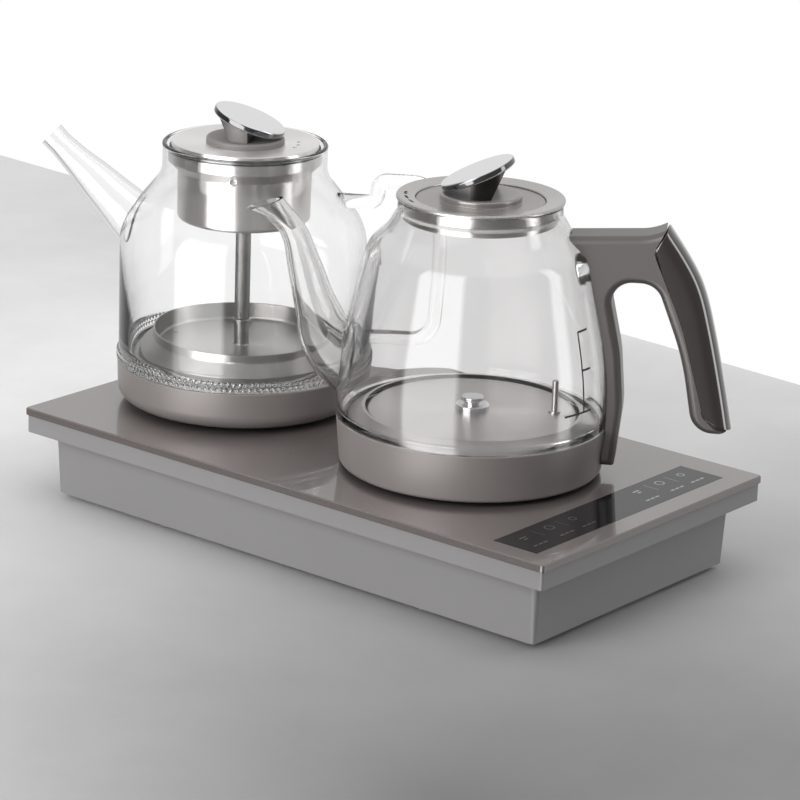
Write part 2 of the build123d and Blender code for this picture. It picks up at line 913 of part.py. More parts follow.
def inlet_hose():
    start = pump_y + pump_length + pump_cover_thickness + slip_gap
    end = rear_wall_inside - draft_gap - nut_thickness - slip_gap
    with BuildPart() as hose:
        with BuildSketch(cross_plane(pump_x, end, pump_z)):
            Circle(hose_radius)
            Circle(hose_bore, mode=Mode.SUBTRACT)
        extrude(amount=end - start)
    return hose


def outlet_hose():
    start = (outlet_x + slip_gap, outlet_y, outlet_z)
    top = panel_top + nozzle_shoulder - slip_gap
    with BuildPart() as hose:
        with BuildLine() as route:
            FilletPolyline(
                start,
                (0, outlet_y, outlet_z),
                (0, kettle_y, outlet_z),
                (0, kettle_y, top),
                radius=hose_bend,
            )
        with BuildSketch(Plane(origin=start, z_dir=(1, 0, 0))):
            Circle(hose_radius)
            Circle(hose_bore, mode=Mode.SUBTRACT)
        sweep(path=route.wire())
    return hose


# Both fittings: a flange outside the rear wall, a sleeve through it and a stub either side
def rear_fitting(x, outer_radius, bore, inner_radius, inner_reach):
    flange_inside = rear_wall_outside + draft_gap
    flange_outside = flange_inside + fitting_flange_thickness
    with BuildPart() as fitting:
        with BuildSketch(cross_plane(x, flange_outside, fitting_z)):
            Circle(fitting_flange_radius)
        extrude(amount=fitting_flange_thickness)
        with BuildSketch(cross_plane(x, flange_outside + fitting_reach, fitting_z)):
            Circle(outer_radius)
        extrude(amount=fitting_reach)
        with BuildSketch(cross_plane(x, flange_inside, fitting_z)):
            Circle(fitting_sleeve_radius)
        extrude(amount=flange_inside - rear_wall_inside + draft_gap + nut_thickness)
        with BuildSketch(cross_plane(x, flange_inside, fitting_z)):
            Circle(inner_radius)
        extrude(amount=flange_inside - rear_wall_inside + draft_gap + nut_thickness + inner_reach)
        with BuildSketch(cross_plane(x, flange_outside + fitting_reach, fitting_z)):
            Circle(bore)
        extrude(amount=tub_length, mode=Mode.SUBTRACT)
    return fitting


def rear_nuts():
    with BuildPart() as nuts:
        for x in (inlet_x, gland_x):
            with BuildSketch(cross_plane(x, rear_wall_inside - draft_gap, fitting_z)):
                RegularPolygon(fitting_flange_radius, 6)
                Circle(fitting_sleeve_radius + running_gap, mode=Mode.SUBTRACT)
            extrude(amount=nut_thickness)
    return nuts


def inlet_nipple():
    return rear_fitting(inlet_x, barb_radius, barb_bore, barb_radius, barb_length)


def cable_gland():
    return rear_fitting(gland_x, gland_radius, gland_bore, fitting_sleeve_radius, 0)


# ---- Vessels: shared parts ----


# Inner radius of a collar at a given height: its wall leans evenly from the base to the top
def collar_inside(base_radius, top_radius, top, height):
    lean = (top_radius - base_radius) / (top - vessel_lift)
    return base_radius + lean * (height - vessel_lift) - collar_wall


def collar(station_y, base_radius, top_radius, top, ledge, corner):
    ledge_top = ledge + underside_thickness
    at_ledge = collar_inside(base_radius, top_radius, top, ledge)
    above = collar_inside(base_radius, top_radius, top, ledge_top)
    outline = (
        (base_radius, vessel_lift),
        (top_radius, top),
        (top_radius - collar_wall, top),
        (above, ledge_top),
        (above - ledge_reach, ledge_top),
        (at_ledge - ledge_reach, ledge),
        (at_ledge, ledge),
        (base_radius - collar_wall, vessel_lift + corner),
        (base_radius - collar_wall - corner, vessel_lift),
    )
    return turned(station_y, outline, (corner, collar_edge_round, 0, 0, 0, 0, 0, 0, 0))


# Bottom plate of a vessel: it closes the collar and bears on the dock's top plate
def underside(station_y, base_radius, corner):
    rim = base_radius - collar_wall - corner - slip_gap
    recess = dock_radius + underside_gap
    outline = (
        (connector_radius + underside_gap, dock_height),
        (recess, dock_height),
        (recess, vessel_lift),
        (rim, vessel_lift),
        (rim, vessel_lift + underside_thickness),
        (recess + underside_thickness, vessel_lift + underside_thickness),
        (recess + underside_thickness, dock_height + underside_thickness),
        (connector_radius + underside_gap, dock_height + underside_thickness),
    )
    return turned(station_y, outline)


def socket(station_y, roof_bore):
    bottom = dock_height + underside_thickness
    cavity = connector_radius + socket_gap
    outline = (
        (cavity, bottom),
        (socket_flange_radius, bottom),
        (socket_flange_radius, bottom + socket_flange_thickness),
        (cavity + socket_wall, bottom + socket_flange_thickness),
        (cavity + socket_wall, socket_roof_height + socket_roof),
        (roof_bore, socket_roof_height + socket_roof),
        (roof_bore, socket_roof_height),
        (cavity, socket_roof_height),
    )
    return turned(station_y, outline)


def glass_gasket(station_y, ledge_top, outer_radius):
    bottom = ledge_top + plate_gauge
    outline = (
        (foot_glass_radius, bottom),
        (outer_radius, bottom),
        (outer_radius, bottom + seal_thickness),
        (foot_glass_radius, bottom + seal_thickness),
    )
    return turned(station_y, outline)


def heater(station_y, top, bore):
    with BuildPart() as element:
        with BuildSketch(Plane((0, station_y, panel_top + top - heater_thickness))):
            Circle(heater_radius)
            if bore:
                Circle(bore, mode=Mode.SUBTRACT)
        extrude(amount=heater_thickness)
        with BuildSketch(section(station_y)):
            with Locations((heater_coil_radius, top - heater_thickness - heater_coil_tube / 2)):
                Circle(heater_coil_tube)
            with Locations((heater_coil_radius, top - heater_thickness / 2)):
                Rectangle(2 * heater_coil_tube, heater_thickness)
        revolve(axis=upright_axis(0, station_y))
    return element


# A tilted chrome disc on a neck; a scoop under its raised end takes a finger
def knob(station_y, boss_top, rise, tilt):
    plane = section(station_y)
    lean = math.radians(tilt)
    side = math.copysign(1, tilt)
    along = Vector(math.cos(lean), math.sin(lean))
    up = Vector(-math.sin(lean), math.cos(lean))
    middle = Vector(-side * knob_shift, boss_top + rise)
    root = middle - up * (knob_thickness / 2)
    low_reach = side * (knob_shift - knob_neck_low) / math.cos(lean)
    low_foot = (-side * knob_neck_low, boss_top)
    low_top = middle + along * low_reach
    high_top = middle + along * (side * knob_neck_reach)
    high_foot = (side * knob_neck_high, boss_top)
    scoop = (side * knob_scoop_x, boss_top + knob_scoop_rise)
    disc_plane = Plane(
        origin=plane.from_local_coords(root),
        x_dir=plane.from_local_coords(along) - plane.origin,
        z_dir=plane.from_local_coords(up) - plane.origin,
    )
    neck_foot = plane.from_local_coords(Vector(-side * knob_shift, boss_top))
    with BuildPart() as neck:
        with BuildSketch(plane):
            with BuildLine():
                ThreePointArc(high_foot, scoop, high_top)
                Polyline(high_top, low_top, low_foot, high_foot)
            make_face()
        extrude(amount=knob_neck_radius, both=True)
        with BuildSketch(Plane(neck_foot)):
            Circle(knob_neck_radius)
        extrude(amount=2 * knob_radius, mode=Mode.INTERSECT)
    with BuildPart() as body:
        with BuildSketch(disc_plane):
            Circle(knob_radius)
        extrude(amount=knob_thickness)
        fillet(body.edges(), knob_round)
        add(neck.part)
    return body


# ---- Vessels: glass ----


# Outer surface of the kettle's glass, from its heel up
kettle_curve = (
    (kettle_radius, kettle_collar_top + rest_gap),
    (kettle_belly_radius, kettle_belly_height),
    (kettle_shoulder_radius, kettle_shoulder_height),
    (kettle_throat_radius, kettle_throat_height),
    (kettle_neck_radius, kettle_neck_height),
    (kettle_neck_radius, kettle_rim_height),
)
kettle_rounds = (150.0, 14.0, 10.0, 6.0)

# Outer surface of the pot's glass, from above its beaded ring
pot_curve = (
    (pot_radius, pot_collar_top + pot_bead_height),
    (pot_radius, pot_shoulder_height),
    (pot_neck_radius, pot_throat_height),
    (pot_neck_radius, pot_rim_height),
)
pot_rounds = (28.0, 14.0)


# The solid inside a vessel's outer surface and its collar, widened by grow
def vessel_form(station_y, curve, rounds, base_radius, bottom, grow=0):
    outline = [(radius + grow, height) for radius, height in curve]
    outline += [(0, curve[-1][1]), (0, bottom), (base_radius + grow, bottom)]
    return turned(station_y, outline, (0, *rounds, 0, 0, 0, 0))


def kettle_form(grow=0):
    return vessel_form(
        kettle_y, kettle_curve, kettle_rounds, kettle_base_radius, vessel_lift, grow
    )


def pot_form(grow=0):
    return vessel_form(pot_y, pot_curve, pot_rounds, pot_radius, vessel_lift, grow)


# A solid spout through its stations, thinned by shrink
def spout_form(station_y, stations, shrink=0):
    plane = section(station_y)
    with BuildPart() as form:
        for reach, height, radius, lean in stations:
            turn = math.radians(lean)
            middle = plane.from_local_coords(Vector(reach, height))
            ahead = plane.from_local_coords(Vector(reach - math.cos(turn), height + math.sin(turn)))
            with BuildSketch(Plane(origin=middle, x_dir=plane.z_dir, z_dir=ahead - middle)):
                Circle(radius - shrink)
        loft()
    return form


# Blown glass of even wall on a thick heel that sits inside the collar
def vessel_glass(station_y, curve, rounds, foot, collar_inside, collar_top, heel_radius):
    seat = collar_top + rest_gap
    shoulder = foot + foot_glass_thickness
    heel = (
        (foot_glass_radius, foot),
        (collar_inside - slip_gap, foot),
        (collar_inside - slip_gap, seat),
        (heel_radius, seat),
        (heel_radius, curve[0][1] + (seat - foot) / 2),
        (curve[0][0] - glass_wall / 2, curve[0][1] + heel_rise),
        (curve[0][0] - glass_wall, curve[0][1] + heel_rise),
        (collar_inside - slip_gap - glass_wall, shoulder + glass_wall),
        (foot_glass_radius + glass_wall, shoulder),
        (foot_glass_radius, shoulder),
    )
    with BuildPart() as glass:
        with BuildSketch(section(station_y)):
            with BuildLine():
                FilletPolyline(*curve, radius=rounds)
                offset(amount=glass_wall, side=Side.LEFT)
            make_face()
            with BuildLine():
                Polyline(*heel, close=True)
            make_face()
        revolve(axis=upright_axis(0, station_y))
    return glass


# ---- Kettle ----


kettle_collar_inside = collar_inside(
    kettle_base_radius, kettle_radius, kettle_collar_top, kettle_ledge_top
)
kettle_flange_radius = plate_riser_radius + plate_flange_reach

# The handle's screw stands square to the sloping glass
handle_screw_height = kettle_shoulder_height - handle_screw_drop
wall_slope = math.atan2(
    kettle_belly_radius - kettle_shoulder_radius, kettle_shoulder_height - kettle_belly_height
)
screw_reach = kettle_belly_radius - math.tan(wall_slope) * (handle_screw_height - kettle_belly_height)


def screw_plane(depth):
    plane = section(kettle_y)
    out = Vector(math.cos(wall_slope), math.sin(wall_slope))
    start = Vector(screw_reach, handle_screw_height) - out * depth
    origin = plane.from_local_coords(start)
    return Plane(origin=origin, z_dir=plane.from_local_coords(start + out) - origin)


def kettle_glass():
    bowl = vessel_glass(
        kettle_y,
        kettle_curve,
        kettle_rounds,
        kettle_glass_foot,
        kettle_collar_inside,
        kettle_collar_top,
        kettle_radius,
    )
    with BuildPart() as glass:
        add(bowl.part)
        add(spout_form(kettle_y, kettle_spout, spout_wall).part, mode=Mode.SUBTRACT)
        with BuildSketch(screw_plane(2 * glass_wall)):
            Circle(handle_screw_radius + slip_gap)
        extrude(amount=4 * glass_wall, mode=Mode.SUBTRACT)
    return glass


def kettle_spout_piece():
    with BuildPart() as spout:
        add(spout_form(kettle_y, kettle_spout).part)
        add(spout_form(kettle_y, kettle_spout, spout_wall).part, mode=Mode.SUBTRACT)
        add(kettle_form().part, mode=Mode.SUBTRACT)
    return spout


def kettle_plate():
    top = kettle_plate_height
    flange = kettle_ledge_top
    outline = (
        (seat_radius + screw_gap, top),
        (kettle_plate_radius, top),
        (plate_riser_radius, kettle_slope_height),
        (plate_riser_radius, flange + plate_gauge),
        (kettle_flange_radius, flange + plate_gauge),
        (kettle_flange_radius, flange),
        (plate_riser_radius - plate_gauge, flange),
        (plate_riser_radius - plate_gauge, kettle_slope_height - plate_gauge / 2),
        (kettle_plate_radius - plate_gauge, top - plate_gauge),
        (seat_radius + screw_gap, top - plate_gauge),
    )
    sheet = turned(kettle_y, outline, (0, plate_round, plate_round, 0, 0, 0, 0, 0, plate_inner_round, 0))
    x, y = polar(probe_circle, probe_angle)
    with BuildPart() as plate:
        add(sheet.part)
        with BuildSketch(Plane((x, kettle_y + y, panel_top + top))):
            Circle(probe_radius + screw_gap)
        extrude(amount=-plate_gauge, mode=Mode.SUBTRACT)
    return plate


def kettle_heater():
    disc = heater(kettle_y, kettle_plate_height - plate_gauge, seat_radius + 2 * fit_gap)
    x, y = polar(probe_circle, probe_angle)
    with BuildPart() as element:
        add(disc.part)
        with BuildSketch(Plane((x, kettle_y + y, panel_top + kettle_plate_height))):
            Circle(probe_radius + fit_gap)
        extrude(amount=-2 * heater_thickness, mode=Mode.SUBTRACT)
    return element


def temperature_probe():
    x, y = polar(probe_circle, probe_angle)
    surface = panel_top + kettle_plate_height
    with BuildPart() as probe:
        with BuildSketch(Plane((x, kettle_y + y, surface - 2 * heater_thickness))):
            Circle(probe_radius)
        extrude(amount=2 * heater_thickness + probe_height)
        fillet(probe.faces().sort_by(Axis.Z)[-1].edges(), probe_radius / 2)
        with BuildSketch(Plane((x, kettle_y + y, surface))):
            Circle(probe_ferrule_radius)
        extrude(amount=plate_gauge)
    return probe


clip_bottom = nozzle_height + valve_clip_rise
clip_top = clip_bottom + valve_clip_thickness
web_bottom = clip_top + valve_lift + slip_gap
seat_top = kettle_plate_height + seat_height


def valve_seat():
    bottom = connector_height - seat_overlap
    outline = (
        (nozzle_radius + fit_gap, bottom),
        (seat_radius, bottom),
        (seat_radius, kettle_plate_height),
        (seat_ring_radius, kettle_plate_height),
        (seat_ring_radius, seat_top),
        (seat_bore, seat_top),
        (seat_bore, web_bottom),
        (nozzle_radius + fit_gap, web_bottom),
    )
    return turned(kettle_y, outline, (0, 0, 0, 0, seat_round, 0, 0, 0))


def fill_valve():
    neck_top = seat_top + valve_cap_neck_height
    cap_top = seat_top + valve_cap_height
    outline = (
        (0, clip_bottom),
        (valve_clip_radius, clip_bottom),
        (valve_clip_radius, clip_top),
        (valve_stem_radius, clip_top),
        (valve_stem_radius, seat_top),
        (valve_cap_neck_radius, seat_top),
        (valve_cap_neck_radius, neck_top),
        (valve_cap_radius, neck_top),
        (valve_cap_radius, cap_top),
        (0, cap_top),
    )
    rounds = (0, 0, 0, 0, 0, 0, valve_neck_round, valve_rim_round, valve_cap_round, 0)
    return turned(kettle_y, outline, rounds)


def handle_blank():
    plane = section(kettle_y)
    with BuildPart() as blank:
        with BuildSketch(plane):
            with BuildLine():
                FilletPolyline(*handle_outline, radius=handle_rounds, close=True)
            make_face()
        extrude(amount=handle_width / 2, both=True)
        square = lambda face: abs(face.normal_at().dot(plane.z_dir)) > side_face_share
        sides = blank.faces().filter_by(square)
        fillet(sides.edges(), handle_round)
        add(kettle_form(handle_gap).part, mode=Mode.SUBTRACT)
    return blank


def handle_body(blank):
    with BuildPart() as body:
        add(blank.part)
        with BuildSketch(section(kettle_y)):
            with BuildLine():
                FilletPolyline(*seam_outline, radius=seam_rounds, close=True)
            make_face()
            offset(amount=seam_gap)
        extrude(amount=handle_width, both=True, mode=Mode.SUBTRACT)
        with BuildSketch(screw_plane(0)):
            Circle(handle_screw_radius + screw_gap)
        extrude(amount=handle_screw_reach + slip_gap, mode=Mode.SUBTRACT)
    return body


def grip_cover(blank):
    with BuildPart() as cover:
        add(blank.part)
        with BuildSketch(section(kettle_y)):
            with BuildLine():
                FilletPolyline(*seam_outline, radius=seam_rounds, close=True)
            make_face()
        extrude(amount=handle_width, both=True, mode=Mode.INTERSECT)
    return cover


# The handle's screw: a domed cap and a seat ring against the inside of the glass
def handle_screw(glass):
    head = glass_wall + washer_thickness
    with BuildPart() as screw:
        with BuildSketch(screw_plane(head)):
            Circle(washer_radius)
        extrude(amount=washer_thickness + glass_wall / 4)
        add(glass.part, mode=Mode.SUBTRACT)
        with BuildSketch(screw_plane(head + handle_cap_thickness)):
            Circle(handle_cap_radius)
        extrude(amount=handle_cap_thickness)
        along = Axis(screw_plane(0).origin, screw_plane(0).z_dir)
        fillet(screw.faces().group_by(along)[0].edges(), handle_cap_round)
        with BuildSketch(screw_plane(head)):
            Circle(handle_screw_radius)
        extrude(amount=head + handle_screw_reach)
    return screw


# ---- Kettle lid ----


def lid_ring():
    outline = (
        (lid_ring_bore, disc_bottom),
        (lid_core_radius, disc_bottom),
        (lid_core_radius, lid_bottom),
        (lid_ring_radius, lid_bottom),
        (lid_ring_radius, lid_bottom + lid_ring_thickness),
        (lid_ring_bore, disc_top + lid_ring_step),
    )
    rounds = (0, 0, 0, lid_ring_foot_round, lid_ring_top_round, lid_ring_bore_round)
    rim = turned(kettle_y, outline, rounds)
    slot_circle = (lid_ring_bore + lid_ring_radius) / 2
    with BuildPart() as ring:
        add(rim.part)
        with BuildSketch(Plane((0, kettle_y, panel_top + lid_bottom + lid_ring_thickness))):
            for angle in lid_slot_angles:
                with PolarLocations(slot_circle, 1, angle):
                    SlotOverall(lid_slot_length, lid_slot_width, rotation=90)
        extrude(amount=-lid_slot_depth, mode=Mode.SUBTRACT)
    return ring


def lid_disc():
    outline = (
        (0, disc_bottom),
        (lid_ring_bore - slip_gap, disc_bottom),
        (lid_ring_bore - slip_gap, disc_top),
        (boss_radius, disc_top),
        (boss_radius, disc_top + boss_height),
        (0, disc_top + boss_height),
    )
    return turned(kettle_y, outline, (0, 0, lid_disc_round, boss_foot_round, boss_round, 0))


def lid_skirt():
    inner = lid_skirt_radius - lid_skirt_gauge
    outline = (
        (inner, lid_bottom - lid_skirt_depth),
        (lid_skirt_radius, lid_bottom - lid_skirt_depth),
        (lid_skirt_radius, lid_bottom),
        (lid_skirt_radius - lid_skirt_lip, lid_bottom),
        (lid_skirt_radius - lid_skirt_lip, lid_bottom - lid_skirt_gauge),
        (inner, lid_bottom - lid_skirt_gauge),
    )
    return turned(kettle_y, outline)


def lid_seal():
    bottom = lid_bottom - lid_skirt_depth + lid_seal_offset
    outer = kettle_neck_radius - glass_wall - slip_gap
    outline = (
        (lid_skirt_radius + running_gap, bottom),
        (outer, bottom),
        (outer, bottom + lid_seal_height),
        (lid_skirt_radius + running_gap, bottom + lid_seal_height),
    )
    return turned(kettle_y, outline)


# ---- Brewing pot ----


pot_collar_inside = collar_inside(pot_base_radius, pot_collar_radius, pot_collar_top, pot_ledge_top)
pot_flange_radius = plate_riser_radius + pot_flange_reach


def pot_glass():
    bowl = vessel_glass(
        pot_y,
        pot_curve,
        pot_rounds,
        pot_glass_foot,
        pot_collar_inside,
        pot_collar_top,
        pot_bead_radius,
    )
    with BuildPart() as glass:
        add(bowl.part)
        with BuildSketch(section(pot_y)):
            with Locations((pot_neck_radius - glass_wall / 2, pot_rim_height)):
                Circle(pot_rim_bead)
        revolve(axis=upright_axis(0, pot_y))
        for angle in dimple_angles:
            x, y = polar(dimple_circle, angle)
            with Locations((x, pot_y + y, panel_top + dimple_height)):
                Sphere(dimple_radius)
        add(spout_form(pot_y, pot_spout, spout_wall).part, mode=Mode.SUBTRACT)
    return glass


def pot_spout_piece():
    with BuildPart() as spout:
        add(spout_form(pot_y, pot_spout).part)
        add(spout_form(pot_y, pot_spout, spout_wall).part, mode=Mode.SUBTRACT)
        add(pot_form().part, mode=Mode.SUBTRACT)
    return spout


# A bent glass rod from below the shoulder, out, down and back to the body
def pot_handle():
    plane = section(pot_y)
    inside = pot_neck_radius
    bends = (rod_step_bend, rod_step_bend, rod_corner_bend, rod_grip_bend, rod_corner_bend)
    with BuildPart() as rod:
        with BuildLine(plane) as route:
            FilletPolyline(
                (inside, rod_upper_height),
                (rod_step, rod_upper_height),
                (rod_step + rod_lean, rod_top_height),
                (rod_reach, rod_top_height),
                (rod_reach + rod_lean, (rod_top_height + rod_lower_height) / 2),
                (rod_reach, rod_lower_height),
                (inside, rod_lower_height),
                radius=bends,
            )
        start = route.wire() @ 0
        with BuildSketch(Plane(origin=start, z_dir=route.wire() % 0)):
            Circle(glass_rod_radius)
        sweep(path=route.wire())
        add(pot_form().part, mode=Mode.SUBTRACT)
    return rod


def pot_plate():
    flange = pot_ledge_top
    outline = (
        (0, pot_plate_height),
        (plate_riser_radius, pot_plate_height),
        (plate_riser_radius, flange + plate_gauge),
        (pot_flange_radius, flange + plate_gauge),
        (pot_flange_radius, flange),
        (plate_riser_radius - plate_gauge, flange),
        (plate_riser_radius - plate_gauge, pot_plate_height - plate_gauge),
        (0, pot_plate_height - plate_gauge),
    )
    return turned(pot_y, outline, (0, plate_edge_round, 0, 0, 0, 0, 0, 0))


# Dished cover over the pot's plate, with the stub that the riser plugs on to: water enters by
# its small hole and leaves up the riser
def boiler_cover():
    gauge = cover_gauge
    band = cover_rim_radius + gauge / 2
    joint = riser_joint_height - riser_joint_length
    outline = (
        (riser_bore, cover_floor_height - gauge),
        (riser_bore, riser_joint_height),
        (riser_joint_radius, riser_joint_height),
        (riser_joint_radius, joint),
        (riser_radius, joint),
        (riser_radius, cover_floor_height),
        (cover_rim_radius - 2 * gauge, cover_floor_height),
        (cover_rim_radius - gauge, cover_rim_height),
        (cover_rim_radius, cover_rim_height),
        (band, cover_band_height),
        (cover_flange_radius, pot_plate_height + cover_flange_height),
        (cover_flange_radius, pot_plate_height),
        (cover_flange_radius - gauge, pot_plate_height),
        (cover_flange_radius - gauge, pot_plate_height + cover_flange_height - gauge / 2),
        (band - gauge, cover_floor_height - gauge),
    )
    rounds = (0, 0, riser_joint_round, 0, 0, stub_foot_round, dish_round, dish_rim_round)
    rounds += (band_top_round, band_foot_round, cover_shoulder_round, 0, 0, 0, 0)
    dish = turned(pot_y, outline, rounds)
    x, y = polar(inflow_circle, inflow_angle)
    with BuildPart() as cover:
        add(dish.part)
        with BuildSketch(Plane((x, pot_y + y, panel_top + cover_floor_height))):
            Circle(inflow_hole_radius)
        extrude(amount=-gauge, mode=Mode.SUBTRACT)
    return cover


# ---- Infuser ----


def infuser_basket():
    floor = basket_floor_height
    gauge = basket_gauge
    curl = basket_lip_radius - 3 * gauge
    outline = (
        (riser_radius + running_gap, floor),
        (basket_radius, floor),
        (basket_radius, basket_flare_height),
        (basket_lip_radius, basket_lip_bottom),
        (basket_lip_radius, basket_rim_height),
        (curl, basket_rim_height),
        (curl, basket_rim_height - gauge),
        (basket_lip_radius - gauge, basket_rim_height - gauge),
        (basket_lip_radius - gauge, basket_lip_bottom + gauge / 2),
        (basket_radius - gauge, basket_flare_height + gauge / 2),
        (basket_radius - gauge, floor + gauge),
        (riser_radius + running_gap, floor + gauge),
    )
    rounds = (0, basket_round, basket_flare_round, basket_flare_round, 0, 0)
    rounds += (0, 0, 0, 0, basket_round - gauge, 0)
    shell = turned(pot_y, outline, rounds)
    with BuildPart() as basket:
        add(shell.part)
        with BuildSketch(Plane((0, pot_y, panel_top + floor))):
            for circle in basket_hole_circles:
                with PolarLocations(circle, int(2 * math.pi * circle / basket_hole_pitch)):
                    Circle(basket_hole_radius)
        extrude(amount=gauge, mode=Mode.SUBTRACT)
        clip_foot = panel_top + basket_rim_height - clip_height
        with BuildSketch(Plane((-basket_lip_radius - clip_gauge / 2, pot_y, clip_foot))):
            Rectangle(2 * clip_gauge, clip_width)
        extrude(amount=clip_height)
    return basket


def riser_tube():
    nut_bottom = basket_floor_height + basket_gauge
    top = basket_floor_height + riser_top_reach
    outline = [(riser_bore, riser_joint_height + rest_gap)]
    outline += [(riser_radius, riser_joint_height + rest_gap)]
    first = basket_floor_height - (riser_rib_count - 1) * riser_rib_pitch - riser_rib_height
    for rib in range(riser_rib_count):
        low = first + rib * riser_rib_pitch
        outline += [(riser_radius, low), (riser_rib_radius, low)]
        outline += [(riser_rib_radius, low + riser_rib_height), (riser_radius, low + riser_rib_height)]
    outline += [(riser_radius, nut_bottom), (riser_nut_radius, nut_bottom)]
    outline += [(riser_nut_radius, nut_bottom + riser_nut_height)]
    outline += [(riser_radius, nut_bottom + riser_nut_height)]
    outline += [(riser_radius, top), (riser_bore, top)]
    return turned(pot_y, outline)


# ---- Pot lid ----


def pot_lid_disc():
    top = pot_lid_bottom + pot_lid_thickness
    outline = (
        (0, pot_lid_bottom),
        (pot_lid_radius, pot_lid_bottom),
        (pot_lid_radius, top + pot_lid_dish),
        (boss_radius, top),
        (0, top),
    )
    plate = turned(pot_y, outline, (0, pot_lid_foot_round, pot_lid_top_round, 0, 0))
    with BuildPart() as disc:
        add(plate.part)
        with BuildSketch(Plane((0, pot_y, panel_top + pot_lid_bottom))):
            for angle in vent_hole_angles:
                with PolarLocations(vent_hole_circle, 1, angle):
                    Circle(vent_hole_radius)
        extrude(amount=pot_lid_thickness + pot_lid_dish, mode=Mode.SUBTRACT)
    return disc


def pot_lid_boss():
    bottom = pot_lid_bottom + pot_lid_thickness
    outline = (
        (0, bottom),
        (boss_radius, bottom),
        (boss_radius, bottom + boss_height),
        (0, bottom + boss_height),
    )
    return turned(pot_y, outline, (0, 0, boss_round, 0))


def pot_lid_seal():
    bottom = pot_lid_bottom - pot_seal_thickness
    outline = (
        (pot_seal_bore, bottom),
        (pot_seal_radius, bottom),
        (pot_seal_radius, pot_lid_bottom),
        (pot_seal_bore, pot_lid_bottom),
    )
    return turned(pot_y, outline)


def kettle_collar():
    return collar(
        kettle_y,
        kettle_base_radius,
        kettle_radius,
        kettle_collar_top,
        collar_ledge,
        kettle_collar_round,
    )


def pot_collar():
    return collar(
        pot_y,
        pot_base_radius,
        pot_collar_radius,
        pot_collar_top,
        pot_collar_ledge,
        pot_collar_round,
    )


# Tops of the two lids' bosses, where the knobs stand
kettle_boss_top = disc_top + boss_height
pot_boss_top = pot_lid_bottom + pot_lid_thickness + boss_height

inner_glass = kettle_glass()
handle_stock = handle_blank()
pieces = {
    "glass_panel": glass_panel(),
    "control_strip": control_strip(),
    "panel_gasket": panel_gasket(),
    "trim_frame": trim_frame(),
    "tub": tub(),
    "bottom_cover": bottom_cover(),
    "case_screws": case_screws(),
    "feet": feet(),
    "docks": docks(),
    "kettle_connector": kettle_connector(),
    "pot_connector": pot_connector(),
    "water_nozzle": water_nozzle(),
    "touch_board": touch_board(),
    "power_board": power_board(),
    "power_parts": power_parts(),
    "pump_bracket": pump_bracket(),
    "pump_motor": pump_motor(),
    "pump_housing": pump_housing(),
    "pump_cover": pump_cover(),
    "pump_impeller": pump_impeller(),
    "inlet_hose": inlet_hose(),
    "outlet_hose": outlet_hose(),
    "inlet_nipple": inlet_nipple(),
    "cable_gland": cable_gland(),
    "rear_nuts": rear_nuts(),
    "kettle_collar": kettle_collar(),
    "kettle_underside": underside(kettle_y, kettle_base_radius, kettle_collar_round),
    "kettle_socket": socket(kettle_y, seat_radius + slip_gap),
    "kettle_glass": inner_glass,
    "kettle_spout": kettle_spout_piece(),
    "kettle_plate": kettle_plate(),
    "kettle_gasket": glass_gasket(kettle_y, kettle_ledge_top, kettle_flange_radius),
    "kettle_heater": kettle_heater(),
    "temperature_probe": temperature_probe(),
    "valve_seat": valve_seat(),
    "fill_valve": fill_valve(),
    "handle_body": handle_body(handle_stock),
    "grip_cover": grip_cover(handle_stock),
    "handle_screw": handle_screw(inner_glass),
    "lid_ring": lid_ring(),
    "lid_disc": lid_disc(),
    "lid_skirt": lid_skirt(),
    "lid_seal": lid_seal(),
    "lid_knob": knob(kettle_y, kettle_boss_top, kettle_knob_rise, kettle_knob_tilt),
    "pot_collar": pot_collar(),
    "pot_underside": underside(pot_y, pot_base_radius, pot_collar_round),
    "pot_socket": socket(pot_y, 0),
    "pot_glass": pot_glass(),
    "pot_spout": pot_spout_piece(),
    "pot_handle": pot_handle(),
    "pot_plate": pot_plate(),
    "pot_gasket": glass_gasket(pot_y, pot_ledge_top, pot_flange_radius),
    "pot_heater": heater(pot_y, pot_plate_height - plate_gauge, 0),
    "boiler_cover": boiler_cover(),
    "infuser_basket": infuser_basket(),
    "riser_tube": riser_tube(),
    "pot_lid_disc": pot_lid_disc(),
    "pot_lid_seal": pot_lid_seal(),
    "pot_lid_boss": pot_lid_boss(),
    "pot_lid_knob": knob(pot_y, pot_boss_top, pot_knob_rise, pot_knob_tilt),
}

os.makedirs("parts", exist_ok=True)
for name, piece in pieces.items():
    piece.part.label = name
    export_step(piece.part, f"parts/{name}.step")
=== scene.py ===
import bpy
import bmesh
import math
from mathutils import Matrix, Vector


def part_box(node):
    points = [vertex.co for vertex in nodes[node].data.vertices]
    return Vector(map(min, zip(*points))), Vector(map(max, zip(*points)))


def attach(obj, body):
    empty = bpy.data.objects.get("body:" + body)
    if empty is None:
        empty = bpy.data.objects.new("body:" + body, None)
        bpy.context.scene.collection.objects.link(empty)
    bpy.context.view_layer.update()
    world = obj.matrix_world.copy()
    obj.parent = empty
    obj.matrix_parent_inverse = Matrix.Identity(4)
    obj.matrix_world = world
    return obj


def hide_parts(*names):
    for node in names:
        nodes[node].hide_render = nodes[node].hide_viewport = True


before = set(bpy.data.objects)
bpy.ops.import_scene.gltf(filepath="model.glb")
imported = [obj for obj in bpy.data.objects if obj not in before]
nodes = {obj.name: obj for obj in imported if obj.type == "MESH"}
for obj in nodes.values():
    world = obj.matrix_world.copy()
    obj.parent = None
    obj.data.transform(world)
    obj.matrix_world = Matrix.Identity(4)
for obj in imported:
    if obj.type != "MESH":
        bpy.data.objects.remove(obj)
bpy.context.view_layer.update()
mm = 0.001
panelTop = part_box("glass_panel")[1].z
